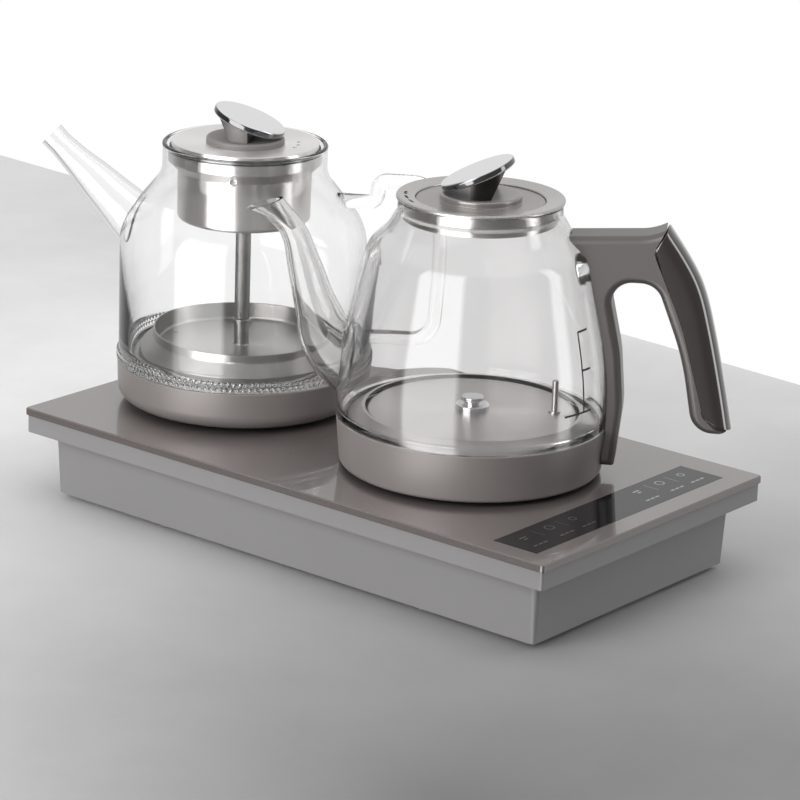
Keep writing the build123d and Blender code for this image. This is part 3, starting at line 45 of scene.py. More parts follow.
handleTurn = math.radians(-57.8)  # both handles swing out to the front right


# A vessel's own frame: x out to its handle, z up from the glass panel
def stationFrame(node):
    low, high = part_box(node)
    middle = (low + high) / 2
    return Matrix.Translation((middle.x, middle.y, panelTop)) @ Matrix.Rotation(handleTurn, 4, "Z")


kettleFrame = stationFrame("kettle_collar")
potFrame = stationFrame("pot_collar")
worldFrame = Matrix.Identity(4)


def newMaterial(name, **settings):
    material = bpy.data.materials.new(name)
    material.use_nodes = True
    shader = material.node_tree.nodes["Principled BSDF"]
    for socket, value in settings.items():
        shader.inputs[socket.replace("_", " ")].default_value = value
    return material, shader


def addNode(material, kind, **settings):
    node = material.node_tree.nodes.new(kind)
    for key, value in settings.items():
        if key in node.inputs:
            node.inputs[key].default_value = value
        else:
            setattr(node, key, value)
    return node


def link(material, source, target):
    material.node_tree.links.new(source, target)


def objectPlace(material, centre=(0, 0, 0)):
    place = addNode(material, "ShaderNodeTexCoord")
    mapping = addNode(material, "ShaderNodeMapping", vector_type="TEXTURE")
    mapping.inputs["Location"].default_value = centre
    link(material, place.outputs["Object"], mapping.inputs["Vector"])
    return mapping.outputs["Vector"]


# Fine moulded grain and a slow drift of tone
moulding = dict(grainScale=1 / 0.0006, grainDepth=0.0002, driftScale=14.0, drift=0.10, sheen=(-0.04, 0.06))


def satinPlastic(name, colour, roughness, grain=0.04, coat=0.0, coatIor=1.5, metallic=0.0):
    material, shader = newMaterial(
        name, Base_Color=(*colour, 1), Roughness=roughness, Metallic=metallic, Coat_Weight=coat,
        Coat_IOR=coatIor,
    )
    place = objectPlace(material)
    drift = addNode(material, "ShaderNodeTexNoise", Scale=moulding["driftScale"], Detail=3.0)
    tone = addNode(material, "ShaderNodeMixRGB", blend_type="MULTIPLY", Fac=moulding["drift"])
    tone.inputs["Color1"].default_value = (*colour, 1)
    link(material, place, drift.inputs["Vector"])
    link(material, drift.outputs["Fac"], tone.inputs["Color2"])
    link(material, tone.outputs["Color"], shader.inputs["Base Color"])
    specks = addNode(material, "ShaderNodeTexNoise", Scale=moulding["grainScale"], Detail=4.0)
    bump = addNode(material, "ShaderNodeBump", Strength=grain, Distance=moulding["grainDepth"])
    link(material, place, specks.inputs["Vector"])
    link(material, specks.outputs["Fac"], bump.inputs["Height"])
    link(material, bump.outputs["Normal"], shader.inputs["Normal"])
    spread = addNode(material, "ShaderNodeMapRange")
    spread.inputs["To Min"].default_value = roughness + moulding["sheen"][0]
    spread.inputs["To Max"].default_value = roughness + moulding["sheen"][1]
    link(material, specks.outputs["Fac"], spread.inputs["Value"])
    link(material, spread.outputs["Result"], shader.inputs["Roughness"])
    return material


# Lathe-brushed steel: fine rings round an upright axis through centre, which smear light across them
brushing = dict(rings=1400.0, strength=0.12, depth=0.0001, narrow=0.0016, sheen=(0.7, 1.4))


def turnedSteel(name, colour, roughness, centre, smear=0.85):
    material, shader = newMaterial(
        name, Base_Color=(*colour, 1), Roughness=roughness, Metallic=1.0, Anisotropic=smear,
        Anisotropic_Rotation=0.25,
    )
    place = objectPlace(material, centre)
    split = addNode(material, "ShaderNodeSeparateXYZ")
    link(material, place, split.inputs["Vector"])
    flat = addNode(material, "ShaderNodeCombineXYZ")
    link(material, split.outputs["X"], flat.inputs["X"])
    link(material, split.outputs["Y"], flat.inputs["Y"])
    around = addNode(material, "ShaderNodeVectorMath", operation="CROSS_PRODUCT")
    around.inputs[0].default_value = (0, 0, 1)
    link(material, flat.outputs["Vector"], around.inputs[1])
    link(material, around.outputs["Vector"], shader.inputs["Tangent"])
    radius = addNode(material, "ShaderNodeVectorMath", operation="LENGTH")
    link(material, flat.outputs["Vector"], radius.inputs[0])
    angle = addNode(material, "ShaderNodeMath", operation="ARCTAN2")
    link(material, split.outputs["Y"], angle.inputs[0])
    link(material, split.outputs["X"], angle.inputs[1])
    narrow = addNode(material, "ShaderNodeMath", operation="MULTIPLY")
    narrow.inputs[1].default_value = brushing["narrow"]
    link(material, angle.outputs["Value"], narrow.inputs[0])
    joined = addNode(material, "ShaderNodeCombineXYZ")
    link(material, radius.outputs["Value"], joined.inputs["X"])
    link(material, narrow.outputs["Value"], joined.inputs["Y"])
    link(material, split.outputs["Z"], joined.inputs["Z"])
    scratches = addNode(material, "ShaderNodeTexNoise", Scale=brushing["rings"], Detail=3.0, Roughness=0.7)
    link(material, joined.outputs["Vector"], scratches.inputs["Vector"])
    bump = addNode(material, "ShaderNodeBump", Strength=brushing["strength"], Distance=brushing["depth"])
    link(material, scratches.outputs["Fac"], bump.inputs["Height"])
    link(material, bump.outputs["Normal"], shader.inputs["Normal"])
    spread = addNode(material, "ShaderNodeMapRange")
    spread.inputs["To Min"].default_value = roughness * brushing["sheen"][0]
    spread.inputs["To Max"].default_value = roughness * brushing["sheen"][1]
    link(material, scratches.outputs["Fac"], spread.inputs["Value"])
    link(material, spread.outputs["Result"], shader.inputs["Roughness"])
    return material


def clearGlass(name, tint):
    return newMaterial(name, Base_Color=(*tint, 1), Roughness=0.0, IOR=1.46, Transmission_Weight=1.0)[0]


# Plating with a faint, patchy haze
plating = dict(colour=(0.86, 0.86, 0.87), hazeScale=60.0, sheen=(0.03, 0.10))


def chromePlate(name):
    material, shader = newMaterial(name, Base_Color=(*plating["colour"], 1), Metallic=1.0)
    place = objectPlace(material)
    haze = addNode(material, "ShaderNodeTexNoise", Scale=plating["hazeScale"], Detail=4.0)
    link(material, place, haze.inputs["Vector"])
    spread = addNode(material, "ShaderNodeMapRange")
    spread.inputs["To Min"].default_value, spread.inputs["To Max"].default_value = plating["sheen"]
    link(material, haze.outputs["Fac"], spread.inputs["Value"])
    link(material, spread.outputs["Result"], shader.inputs["Roughness"])
    return material


# A knob is polished above the plane of its disc, with a painted dark reflection round the disc's side,
# and satin on the neck below, painted dark as shade and dark reflection under the disc. Shift and drop are in
# millimetres, blend in metres
knobDisc = dict(shift=2.2, drop=1.9, blend=0.0001, darkReflectionColour=(0.16, 0.16, 0.165), darkReflectionToFace=(0.35, 0.65))


def knobFinish(name, place, tilt, rise, bossTop, shadedNeckColour, neckRoughness):
    material = chromePlate(name)
    lean = math.radians(tilt)
    middle = place @ Vector((-math.copysign(knobDisc["shift"], tilt) * mm, 0, (bossTop + rise) * mm))
    up = place.to_3x3() @ Vector((-math.sin(lean), 0, math.cos(lean)))
    spot = addNode(material, "ShaderNodeTexCoord")
    offset = addNode(material, "ShaderNodeVectorMath", operation="SUBTRACT")
    offset.inputs[1].default_value = middle - up * knobDisc["drop"] * mm
    link(material, spot.outputs["Object"], offset.inputs[0])
    above = addNode(material, "ShaderNodeVectorMath", operation="DOT_PRODUCT")
    above.inputs[1].default_value = up
    link(material, offset.outputs["Vector"], above.inputs[0])
    edge = addNode(material, "ShaderNodeMapRange")
    edge.inputs["From Min"].default_value = -knobDisc["blend"]
    edge.inputs["From Max"].default_value = knobDisc["blend"]
    link(material, above.outputs["Value"], edge.inputs["Value"])
    shader = material.node_tree.nodes["Principled BSDF"]
    polish = shader.inputs["Roughness"].links[0].from_socket
    surface = addNode(material, "ShaderNodeNewGeometry")
    facing = addNode(material, "ShaderNodeVectorMath", operation="DOT_PRODUCT")
    facing.inputs[1].default_value = up
    link(material, surface.outputs["Normal"], facing.inputs[0])
    flatness = addNode(material, "ShaderNodeMath", operation="ABSOLUTE")
    link(material, facing.outputs["Value"], flatness.inputs[0])
    # Painted dark reflection: where the surface turns sideways to the disc's plane, its colour goes to the
    # dark side colour
    side = addNode(material, "ShaderNodeMapRange")
    side.inputs["From Min"].default_value, side.inputs["From Max"].default_value = knobDisc["darkReflectionToFace"]
    link(material, flatness.outputs["Value"], side.inputs["Value"])
    withDarkReflection = addNode(material, "ShaderNodeMixRGB")
    withDarkReflection.inputs["Color1"].default_value = (*knobDisc["darkReflectionColour"], 1)
    withDarkReflection.inputs["Color2"].default_value = shader.inputs["Base Color"].default_value[:]
    link(material, side.outputs["Result"], withDarkReflection.inputs["Fac"])
    # Painted shade and dark reflection: below the disc's plane the neck takes a darker colour
    tone = addNode(material, "ShaderNodeMixRGB")
    tone.inputs["Color1"].default_value = (*shadedNeckColour, 1)
    link(material, withDarkReflection.outputs["Color"], tone.inputs["Color2"])
    sheen = addNode(material, "ShaderNodeMix")
    sheen.inputs["A"].default_value = neckRoughness
    for mix in (tone.inputs["Fac"], sheen.inputs["Factor"]):
        link(material, edge.outputs["Result"], mix)
    link(material, polish, sheen.inputs["B"])
    link(material, tone.outputs["Color"], shader.inputs["Base Color"])
    link(material, sheen.outputs["Result"], shader.inputs["Roughness"])
    return material


# Back-painted tempered glass: bronze-grey paint with fine metal flakes under a glossy surface
flakePaint = dict(flakeScale=2600.0, glint=(0.85, 1.2))


def paintedGlass(name, colour):
    material, shader = newMaterial(
        name, Base_Color=(*colour, 1), Roughness=0.32, Metallic=0.35, Coat_Weight=1.0, Coat_Roughness=0.03
    )
    place = objectPlace(material)
    flakes = addNode(material, "ShaderNodeTexVoronoi", Scale=flakePaint["flakeScale"])
    link(material, place, flakes.inputs["Vector"])
    glint = addNode(material, "ShaderNodeMapRange")
    glint.inputs["To Min"].default_value, glint.inputs["To Max"].default_value = flakePaint["glint"]
    link(material, flakes.outputs["Color"], glint.inputs["Value"])
    tone = addNode(material, "ShaderNodeMixRGB", blend_type="MULTIPLY", Fac=1.0)
    tone.inputs["Color1"].default_value = (*colour, 1)
    link(material, glint.outputs["Result"], tone.inputs["Color2"])
    link(material, tone.outputs["Color"], shader.inputs["Base Color"])
    return material


kettleAxis = tuple(kettleFrame.translation)
potAxis = tuple(potFrame.translation)
panelGlass = paintedGlass("panelGlass", (0.135, 0.117, 0.112))
stripBlack = satinPlastic("stripBlack", (0.006, 0.006, 0.007), 0.05, grain=0.0)
printBlack = satinPlastic("printBlack", (0.004, 0.004, 0.004), 0.55)
printGrey = satinPlastic("printGrey", (0.42, 0.42, 0.43), 0.08, grain=0.0, metallic=1.0)
caseGrey = satinPlastic("caseGrey", (0.240, 0.234, 0.238), 0.42)
tubGrey = satinPlastic("tubGrey", (0.236, 0.230, 0.234), 0.50)
foamBlack = satinPlastic("foamBlack", (0.02, 0.02, 0.02), 0.85, grain=0.3)
footRubber = satinPlastic("footRubber", (0.03, 0.03, 0.03), 0.75, grain=0.2)
collarTaupe = satinPlastic("collarTaupe", (0.240, 0.217, 0.210), 0.40, metallic=0.15)
handleTaupe = satinPlastic("handleTaupe", (0.115, 0.104, 0.102), 0.34, metallic=0.3)
gripBrown = satinPlastic("gripBrown", (0.026, 0.017, 0.015), 0.12, grain=0.01, coat=1.0, coatIor=1.8)
lidSilver = satinPlastic("lidSilver", (0.50, 0.48, 0.475), 0.26, metallic=0.8)
lidTaupe = satinPlastic("lidTaupe", (0.31, 0.29, 0.285), 0.28, metallic=0.6)
bossGrey = satinPlastic("bossGrey", (0.21, 0.20, 0.195), 0.5, metallic=0.2)
darkPlastic = satinPlastic("darkPlastic", (0.03, 0.03, 0.032), 0.45)
boardGreen = satinPlastic("boardGreen", (0.01, 0.09, 0.035), 0.4)
coilBlue = satinPlastic("coilBlue", (0.02, 0.04, 0.16), 0.35)
siliconePale = satinPlastic("siliconePale", (0.62, 0.62, 0.60), 0.45)
castAluminium = satinPlastic("castAluminium", (0.55, 0.55, 0.56), 0.45, grain=0.2, metallic=1.0)
kettleSteel = turnedSteel("kettleSteel", (0.66, 0.64, 0.63), 0.32, kettleAxis)
potSteel = turnedSteel("potSteel", (0.66, 0.64, 0.63), 0.32, potAxis)
potLidSteel = turnedSteel("potLidSteel", (0.88, 0.86, 0.85), 0.30, potAxis)
riserSteel = turnedSteel("riserSteel", (0.27, 0.265, 0.26), 0.5, potAxis, smear=0.0)
dishSteel = turnedSteel("dishSteel", (0.42, 0.41, 0.40), 0.34, potAxis)
screwSteel = satinPlastic("screwSteel", (0.12, 0.12, 0.12), 0.5, metallic=0.6)
kettleClear = clearGlass("kettleClear", (0.85, 0.845, 0.845))
potClear = clearGlass("potClear", (0.985, 0.985, 0.985))
chrome = chromePlate("chrome")
kettleKnob = knobFinish(
    "kettleKnob", kettleFrame, tilt=24.0, rise=10.7, bossTop=153.9, shadedNeckColour=(0.05, 0.045, 0.044),
    neckRoughness=0.25,
)
potKnob = knobFinish(
    "potKnob", potFrame, tilt=-20.0, rise=9.3, bossTop=155.5, shadedNeckColour=(0.20, 0.19, 0.185),
    neckRoughness=0.6,
)

finishes = {
    panelGlass: ["glass_panel"],
    stripBlack: ["control_strip"],
    caseGrey: ["trim_frame"],
    tubGrey: ["tub", "bottom_cover"],
    foamBlack: ["panel_gasket"],
    footRubber: ["feet"],
    darkPlastic: [
        "docks", "kettle_connector", "pot_connector", "water_nozzle", "pump_bracket", "pump_housing",
        "pump_cover", "pump_impeller", "inlet_nipple", "cable_gland", "rear_nuts", "kettle_underside",
        "kettle_socket", "pot_underside", "pot_socket", "pot_lid_seal",
    ],
    boardGreen: ["touch_board", "power_board"],
    coilBlue: ["power_parts"],
    siliconePale: ["inlet_hose", "outlet_hose", "kettle_gasket", "pot_gasket", "lid_seal"],
    castAluminium: ["kettle_heater", "pot_heater", "pump_motor"],
    screwSteel: ["case_screws"],
    collarTaupe: ["kettle_collar", "pot_collar"],
    handleTaupe: ["handle_body"],
    gripBrown: ["grip_cover"],
    lidSilver: ["lid_ring"],
    lidTaupe: ["lid_disc"],
    bossGrey: ["pot_lid_boss"],
    kettleSteel: ["kettle_plate", "temperature_probe", "lid_skirt"],
    potSteel: ["pot_plate", "infuser_basket"],
    potLidSteel: ["pot_lid_disc"],
    riserSteel: ["riser_tube"],
    dishSteel: ["boiler_cover"],
    kettleClear: ["kettle_glass", "kettle_spout"],
    potClear: ["pot_glass", "pot_spout", "pot_handle"],
    chrome: ["handle_screw", "valve_seat", "fill_valve"],
    kettleKnob: ["lid_knob"],
    potKnob: ["pot_lid_knob"],
}
for finish, names in finishes.items():
    for name in names:
        nodes[name].data.materials.clear()
        nodes[name].data.materials.append(finish)
nodes["pot_handle"].visible_shadow = False  # light passes through clear glass
print("materials done")


def finishPiece(name, bm, body, material, place=worldFrame, smooth=40.0, outward=True):
    bmesh.ops.remove_doubles(bm, verts=bm.verts, dist=1e-6)
    bmesh.ops.transform(bm, matrix=place, verts=bm.verts)
    if outward:
        bmesh.ops.recalc_face_normals(bm, faces=bm.faces)
    mesh = bpy.data.meshes.new(name)
    bm.to_mesh(mesh)
    bm.free()
    piece = bpy.data.objects.new(name, mesh)
    bpy.context.scene.collection.objects.link(piece)
    mesh.materials.append(material)
    mesh.shade_smooth()
    mesh.set_sharp_from_angle(angle=math.radians(smooth))
    if body:
        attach(piece, body)
    return piece


# Rounds one corner of a wire outline with an arc of about the given radius
def softenCorner(bm, corner, radius):
    ends = [edge.other_vert(corner).co - corner.co for edge in corner.link_edges]
    turn = math.pi - ends[0].angle(ends[1])
    segments = max(3, math.ceil(math.degrees(turn) / 7))
    reach = radius * math.tan(turn / 2)
    bmesh.ops.bevel(
        bm, geom=[corner], offset=reach, offset_type="OFFSET", segments=segments, profile=0.5,
        affect="VERTICES", clamp_overlap=False, material=-1,
    )


# A wire outline of (radius, height) or (radius, height, rounding) points in millimetres
def wireOutline(outline, closed):
    bm = bmesh.new()
    corners = [bm.verts.new((point[0] * mm, 0, point[1] * mm)) for point in outline]
    following = corners[1:] + corners[:1] if closed else corners[1:]
    for start, end in zip(corners, following):
        bm.edges.new((start, end))
    for corner, point in zip(corners, outline):
        if len(point) > 2:
            softenCorner(bm, corner, point[2] * mm)
    return bm


def turned(outline, closed=True, steps=128):
    bm = wireOutline(outline, closed)
    bmesh.ops.spin(
        bm, geom=bm.verts[:] + bm.edges[:], cent=(0, 0, 0), axis=(0, 0, 1), angle=2 * math.pi,
        steps=steps, use_merge=True,
    )
    return bm


# A round tube through (x, height, radius) points in the plane of a handle, in millimetres
def tube(name, path, grow=0.0):
    curve = bpy.data.curves.new(name, "CURVE")
    curve.dimensions = "3D"
    curve.bevel_depth = 1.0
    curve.bevel_resolution = 10
    curve.resolution_u = 16
    curve.use_fill_caps = True
    spline = curve.splines.new("BEZIER")
    spline.radius_interpolation = "CARDINAL"
    spline.bezier_points.add(len(path) - 1)
    for point, (x, z, radius) in zip(spline.bezier_points, path):
        point.co = (x * mm, 0, z * mm)
        point.radius = (radius + grow) * mm
        point.handle_left_type = point.handle_right_type = "AUTO"
    line = bpy.data.objects.new(name, curve)
    bpy.context.scene.collection.objects.link(line)
    bpy.context.view_layer.update()
    mesh = bpy.data.meshes.new_from_object(line.evaluated_get(bpy.context.evaluated_depsgraph_get()))
    bpy.data.objects.remove(line)
    bm = bmesh.new()
    bm.from_mesh(mesh)
    bmesh.ops.remove_doubles(bm, verts=bm.verts, dist=1e-6)
    return bm


def looseObject(name, bm):
    bmesh.ops.remove_doubles(bm, verts=bm.verts, dist=1e-6)
    bmesh.ops.recalc_face_normals(bm, faces=bm.faces)
    mesh = bpy.data.meshes.new(name)
    bm.to_mesh(mesh)
    bm.free()
    loose = bpy.data.objects.new(name, mesh)
    bpy.context.scene.collection.objects.link(loose)
    return loose


# Joins two closed pieces or cuts one with the other; the tool is used up
def combine(piece, tool, operation):
    modifier = piece.modifiers.new("combine", "BOOLEAN")
    modifier.operation = operation
    modifier.object = tool
    modifier.solver = "EXACT"
    bpy.context.view_layer.update()
    depsgraph = bpy.context.evaluated_depsgraph_get()
    mesh = bpy.data.meshes.new_from_object(piece.evaluated_get(depsgraph))
    piece.modifiers.clear()
    piece.data = mesh
    bpy.data.objects.remove(tool)


# Walls as (radius, height, rounding), the spout and its bore as (x, height, radius), all in millimetres
kettleGlass = dict(
    spoutWall=2.2 * 0.85,
    outer=[(71.2, 29.1), (74.4, 29.1), (75.0, 58.0, 150), (60.3, 124.0, 14), (50.5, 133.5, 10),
           (44.6, 143.5, 6), (44.6, 150.2, 1.0)],
    inner=[(42.4, 150.2, 1.0), (42.4, 143.0, 7), (48.6, 132.4, 12), (58.1, 123.2, 12), (72.8, 58.0, 148),
           (72.1, 34.0, 5), (69.5, 28.0, 3), (66.0, 25.9), (61.5, 25.7), (61.5, 22.7), (71.0, 22.7)],
    spout=[(-58, 54, 22.5), (-70, 58.5, 19.5), (-80.5, 68, 16), (-87.2, 84, 12), (-94.7, 108, 9.2),
           (-101.5, 127, 7.2), (-107.8, 134.4, 6.8), (-115.4, 141.2, 8.4), (-123.0, 147.4, 10.6)],
    bore=[(-54, 52.5, 22.5), (-58, 54, 22.5), (-70, 58.5, 19.5), (-80.5, 68, 16), (-87.2, 84, 12),
          (-94.7, 108, 9.2), (-101.5, 127, 7.2), (-107.8, 134.4, 6.8), (-115.4, 141.2, 8.4),
          (-123.0, 147.4, 10.6), (-129.0, 152.2, 12.0)],
    mouth=(-115.4, 141.2, 19.0), mouthCutter=50.0,  # the lip's middle and slope in degrees, the cutter's side
)


def vesselGlass(name, shape, place, body, replaced, glass):
    bowl = looseObject(name, turned(shape["outer"] + shape["inner"], steps=144))
    bore = looseObject("bore", tube("bore", shape["bore"], grow=-shape["spoutWall"]))
    cavity = looseObject("cavity", turned(shape["cavity"], closed=False, steps=144))
    spout = looseObject("spout", tube("spout", shape["spout"]))
    combine(spout, cavity, "DIFFERENCE")
    if "mouth" in shape:
        reach, height, slope = shape["mouth"]
        lip = Matrix.Translation((reach * mm, 0, height * mm)) @ Matrix.Rotation(math.radians(-slope), 4, "Y")
        above = bmesh.new()
        side = shape["mouthCutter"] * mm
        bmesh.ops.create_cube(above, size=side, matrix=lip @ Matrix.Translation((0, 0, side / 2)))
        combine(spout, looseObject("above", above), "DIFFERENCE")
    combine(bowl, spout, "UNION")
    combine(bowl, bore, "DIFFERENCE")
    for turn in shape.get("dimpleTurns", ()):
        spot = Vector((shape["dimpleCircle"] * mm, 0, shape["dimpleHeight"] * mm))
        seat = Matrix.Rotation(math.radians(turn), 4, "Z") @ Matrix.Translation(spot)
        dimple = bmesh.new()
        bmesh.ops.create_uvsphere(
            dimple, u_segments=24, v_segments=16, radius=shape["dimpleRadius"] * mm, matrix=seat
        )
        combine(bowl, looseObject("dimple", dimple), "UNION")
    bm = bmesh.new()
    bm.from_mesh(bowl.data)
    bpy.data.objects.remove(bowl)
    piece = finishPiece(name, bm, body, glass, place, smooth=35.0, outward=False)
    piece.visible_shadow = False
    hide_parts(*replaced)
    return piece


kettleGlass["cavity"] = [(0, 154), (42.6, 154), *kettleGlass["inner"][1:6], (69.5, 24.0), (0, 24.0)]
vesselGlass("kettleGlass", kettleGlass, kettleFrame, "kettle", ["kettle_glass", "kettle_spout"], kettleClear)
print("kettle glass done")


potGlass = dict(
    spoutWall=2.2 * 0.85,
    outer=[(68.8, 24.6), (70.8, 24.6, 0.6), (70.8, 28.6, 1.0), (70.4, 30.0), (70.4, 104.8, 28),
           (46.7, 134.2, 14), (46.7, 149.8, 0.6), (47.1, 151.0, 0.9)],
    inner=[(45.6, 152.5, 1.2), (44.2, 151.0, 0.8), (44.5, 133.6, 16), (68.2, 104.0, 26), (68.2, 34.0, 8),
           (65.0, 24.0), (61.5, 23.7), (61.5, 20.7), (68.4, 20.7)],
    spout=[(-56, 96.8, 16.2), (-72, 112.0, 13.4), (-88, 127.2, 10.4), (-103.5, 141.8, 7.6),
           (-111.7, 149.9, 7.4)],
    bore=[(-50, 91.2, 16.2), (-56, 96.8, 16.2), (-72, 112.0, 13.4), (-88, 127.2, 10.4),
          (-103.5, 141.8, 7.6), (-111.7, 149.9, 7.4), (-116.5, 154.6, 7.6)],
    dimpleTurns=(30.8, 150.8, 270.8), dimpleCircle=43.9, dimpleHeight=139.2, dimpleRadius=2.4,
)
potGlass["cavity"] = [(0, 155), (44.7, 155), *potGlass["inner"][2:5], (65.0, 22.0), (0, 22.0)]
vesselGlass("potGlass", potGlass, potFrame, "pot", ["pot_glass", "pot_spout"], potClear)
print("pot glass done")


# Two rows of small moulded beads round the pot's heel
heelBeads = dict(heights=(26.6, 29.7), circle=70.1, radius=1.5, count=130)


def makeHeelBeads():
    bm = bmesh.new()
    for row, height in enumerate(heelBeads["heights"]):
        for step in range(heelBeads["count"]):
            turn = Matrix.Rotation((step + row / 2) * 2 * math.pi / heelBeads["count"], 4, "Z")
            spot = Matrix.Translation((heelBeads["circle"] * mm, 0, height * mm))
            bmesh.ops.create_uvsphere(
                bm, u_segments=8, v_segments=6, radius=heelBeads["radius"] * mm, matrix=turn @ spot
            )
    beads = finishPiece("heelBeads", bm, "pot", potClear, potFrame, smooth=60.0)
    beads.visible_shadow = False


makeHeelBeads()
print("heel beads done")


# Adds one bmesh to another and frees it
def gather(total, bm):
    part = bpy.data.meshes.new("part")
    bm.to_mesh(part)
    bm.free()
    total.from_mesh(part)
    bpy.data.meshes.remove(part)


# Water level: a printed column with three ticks, turns in degrees from the handle
levelMarks = dict(
    width=1.1, lift=0.05, thickness=0.08, circle=74, degreesPerStep=1.5, column=(-32.3, 47.0, 90.5),
    ticks=[(90.1, -31.4, -24.6), (69.7, -32.2, -25.9), (47.2, -43.4, -26.8)],
)


def printedBand(low, high, start, sweep):
    foot, belly, shoulder = kettleGlass["outer"][1:4]
    bm = wireOutline([foot, belly, shoulder[:2]], closed=False)
    for height, side in ((low, -1), (high, 1)):
        bmesh.ops.bisect_plane(
            bm, geom=bm.verts[:] + bm.edges[:], plane_co=(0, 0, height * mm), plane_no=(0, 0, side),
            clear_outer=True,
        )
    bmesh.ops.translate(bm, verts=bm.verts, vec=(levelMarks["lift"] * mm, 0, 0))
    bmesh.ops.rotate(
        bm, verts=bm.verts, cent=(0, 0, 0), matrix=Matrix.Rotation(math.radians(start), 3, "Z")
    )
    bmesh.ops.spin(
        bm, geom=bm.verts[:] + bm.edges[:], cent=(0, 0, 0), axis=(0, 0, 1), angle=math.radians(sweep),
        steps=max(1, round(sweep / levelMarks["degreesPerStep"])),
    )
    bmesh.ops.solidify(bm, geom=bm.faces[:], thickness=levelMarks["thickness"] * mm)
    return bm


def makeLevelMarks():
    total = bmesh.new()
    half = levelMarks["width"] / 2
    turn, low, high = levelMarks["column"]
    gather(total, printedBand(low, high, turn, math.degrees(levelMarks["width"] / levelMarks["circle"])))
    for height, start, end in levelMarks["ticks"]:
        gather(total, printedBand(height - half, height + half, start, end - start))
    finishPiece("levelMarks", total, "kettle", printBlack, kettleFrame)


makeLevelMarks()
print("level marks done")


# A stamped steel ring that slopes from the kettle's plate down to its glass, over the seal
kettlePlateRim = dict(
    outline=[(58.6, 33.5), (60.4, 33.5, 0.8), (68.6, 27.4, 0.8), (69.0, 26.2), (68.2, 26.2), (60.0, 32.4)],
)
finishPiece(
    "kettlePlateRim", turned(kettlePlateRim["outline"]), "kettle", kettleSteel, kettleFrame
)
print("kettle plate rim done")


# The glossy shell on the grip: flat sides at the seam and a crowned back, both as (x out, height)
gripShell = dict(
    outer=[(102, 142.6), (112, 128.4), (119.5, 116), (124.5, 104), (129, 88), (132.9, 72), (136.5, 56),
           (139.5, 42), (141.7, 31.5)],
    seam=[(95.5, 131.5), (99.5, 119), (104.5, 107), (110, 94.5), (114.6, 81), (118.4, 67.5), (122, 54.5),
          (124.6, 44), (127.5, 37.5)],
    halfWidth=12.0, corner=10.5, endRound=2.5, between=4,
)


# A smooth run of points through the given ones
def eased(points, between):
    ends = [points[0], *points, points[-1]]
    run = []
    for before, start, end, after in zip(ends, ends[1:], ends[2:], ends[3:]):
        for step in range(between):
            t = step / between
            run.append([
                b + 0.5 * t * (c - a + t * (2 * a - 5 * b + 4 * c - d + t * (3 * b - a - 3 * c + d)))
                for a, b, c, d in zip(before, start, end, after)
            ])
    return [Vector((x * mm, 0, z * mm)) for x, z in run + [points[-1]]]


def makeGripShell():
    bm = bmesh.new()
    across = Vector((0, gripShell["halfWidth"] * mm, 0))
    loops = []
    seams, outers = (eased(gripShell[line], gripShell["between"]) for line in ("seam", "outer"))
    for seam, outer in zip(seams, outers):
        older = set(bm.edges)
        spots = (seam - across, seam + across, outer + across, outer - across)
        corners = [bm.verts.new(spot) for spot in spots]
        for start, end in zip(corners, corners[1:] + corners[:1]):
            bm.edges.new((start, end))
        bmesh.ops.bevel(
            bm, geom=corners[2:], offset=min(gripShell["corner"] * mm, (outer - seam).length - 0.5 * mm),
            offset_type="OFFSET", segments=8, profile=0.5, affect="VERTICES", clamp_overlap=False,
            material=-1,
        )
        loops.append([edge for edge in bm.edges if edge not in older])
    for first, second in zip(loops, loops[1:]):
        bmesh.ops.bridge_loops(bm, edges=first + second)
    for end in (loops[0], loops[-1]):
        bmesh.ops.contextual_create(bm, geom=end)
    bmesh.ops.bevel(
        bm, geom=loops[0] + loops[-1], offset=gripShell["endRound"] * mm, offset_type="OFFSET", segments=4,
        profile=0.5, affect="EDGES", clamp_overlap=True, material=-1,
    )
    shell = finishPiece("gripShell", bm, "kettle", gripBrown, kettleFrame)
    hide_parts("grip_cover")


makeGripShell()
print("grip shell done")


# Icons on the control strip: rings (x, y, radius), bars (x, y, length, width), three dashes for a caption
stripPrint = dict(
    top=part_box("control_strip")[1].z, thickness=0.02,
    rings=[(48.8, -151.9, 3.0), (-51.4, -152.3, 3.0), (68.5, -152.1, 2.4), (-31.6, -152.6, 2.4)],
    ringLine=0.7,
    bars=[(28.0, -151.0, 5.5, 1.2), (28.0, -153.4, 3.0, 1.2), (-74.1, -151.9, 5.5, 1.2),
          (-74.1, -154.3, 3.0, 1.2), (39.2, -153.0, 0.4, 10.0), (58.4, -153.0, 0.4, 10.0),
          (-62.7, -153.0, 0.4, 10.0), (-41.5, -153.0, 0.4, 10.0)],
    captions=[25.3, 48.4, 67.5, -74.4, -51.5, -32.3], captionLine=-164.0, dash=(3.2, 1.3), dashStep=4.2,
)


def printedBox(total, x, y, length, width):
    size = Matrix.Diagonal((length * mm, width * mm, stripPrint["thickness"] * mm, 1))
    spot = Matrix.Translation((x * mm, y * mm, stripPrint["top"] + stripPrint["thickness"] * mm / 2))
    bmesh.ops.create_cube(total, size=1.0, matrix=spot @ size)


def makeStripPrint():
    total = bmesh.new()
    for x, y, radius in stripPrint["rings"]:
        inner, top = radius - stripPrint["ringLine"], stripPrint["thickness"]
        ring = turned([(inner, 0), (radius, 0), (radius, top), (inner, top)], steps=32)
        bmesh.ops.translate(ring, verts=ring.verts, vec=(x * mm, y * mm, stripPrint["top"]))
        gather(total, ring)
    for x, y, length, width in stripPrint["bars"]:
        printedBox(total, x, y, length, width)
    for x in stripPrint["captions"]:
        for step in (-1, 0, 1):
            across = x + step * stripPrint["dashStep"]
            printedBox(total, across, stripPrint["captionLine"], *stripPrint["dash"])
    finishPiece("stripPrint", total, "base", printGrey)


makeStripPrint()
print("strip print done")


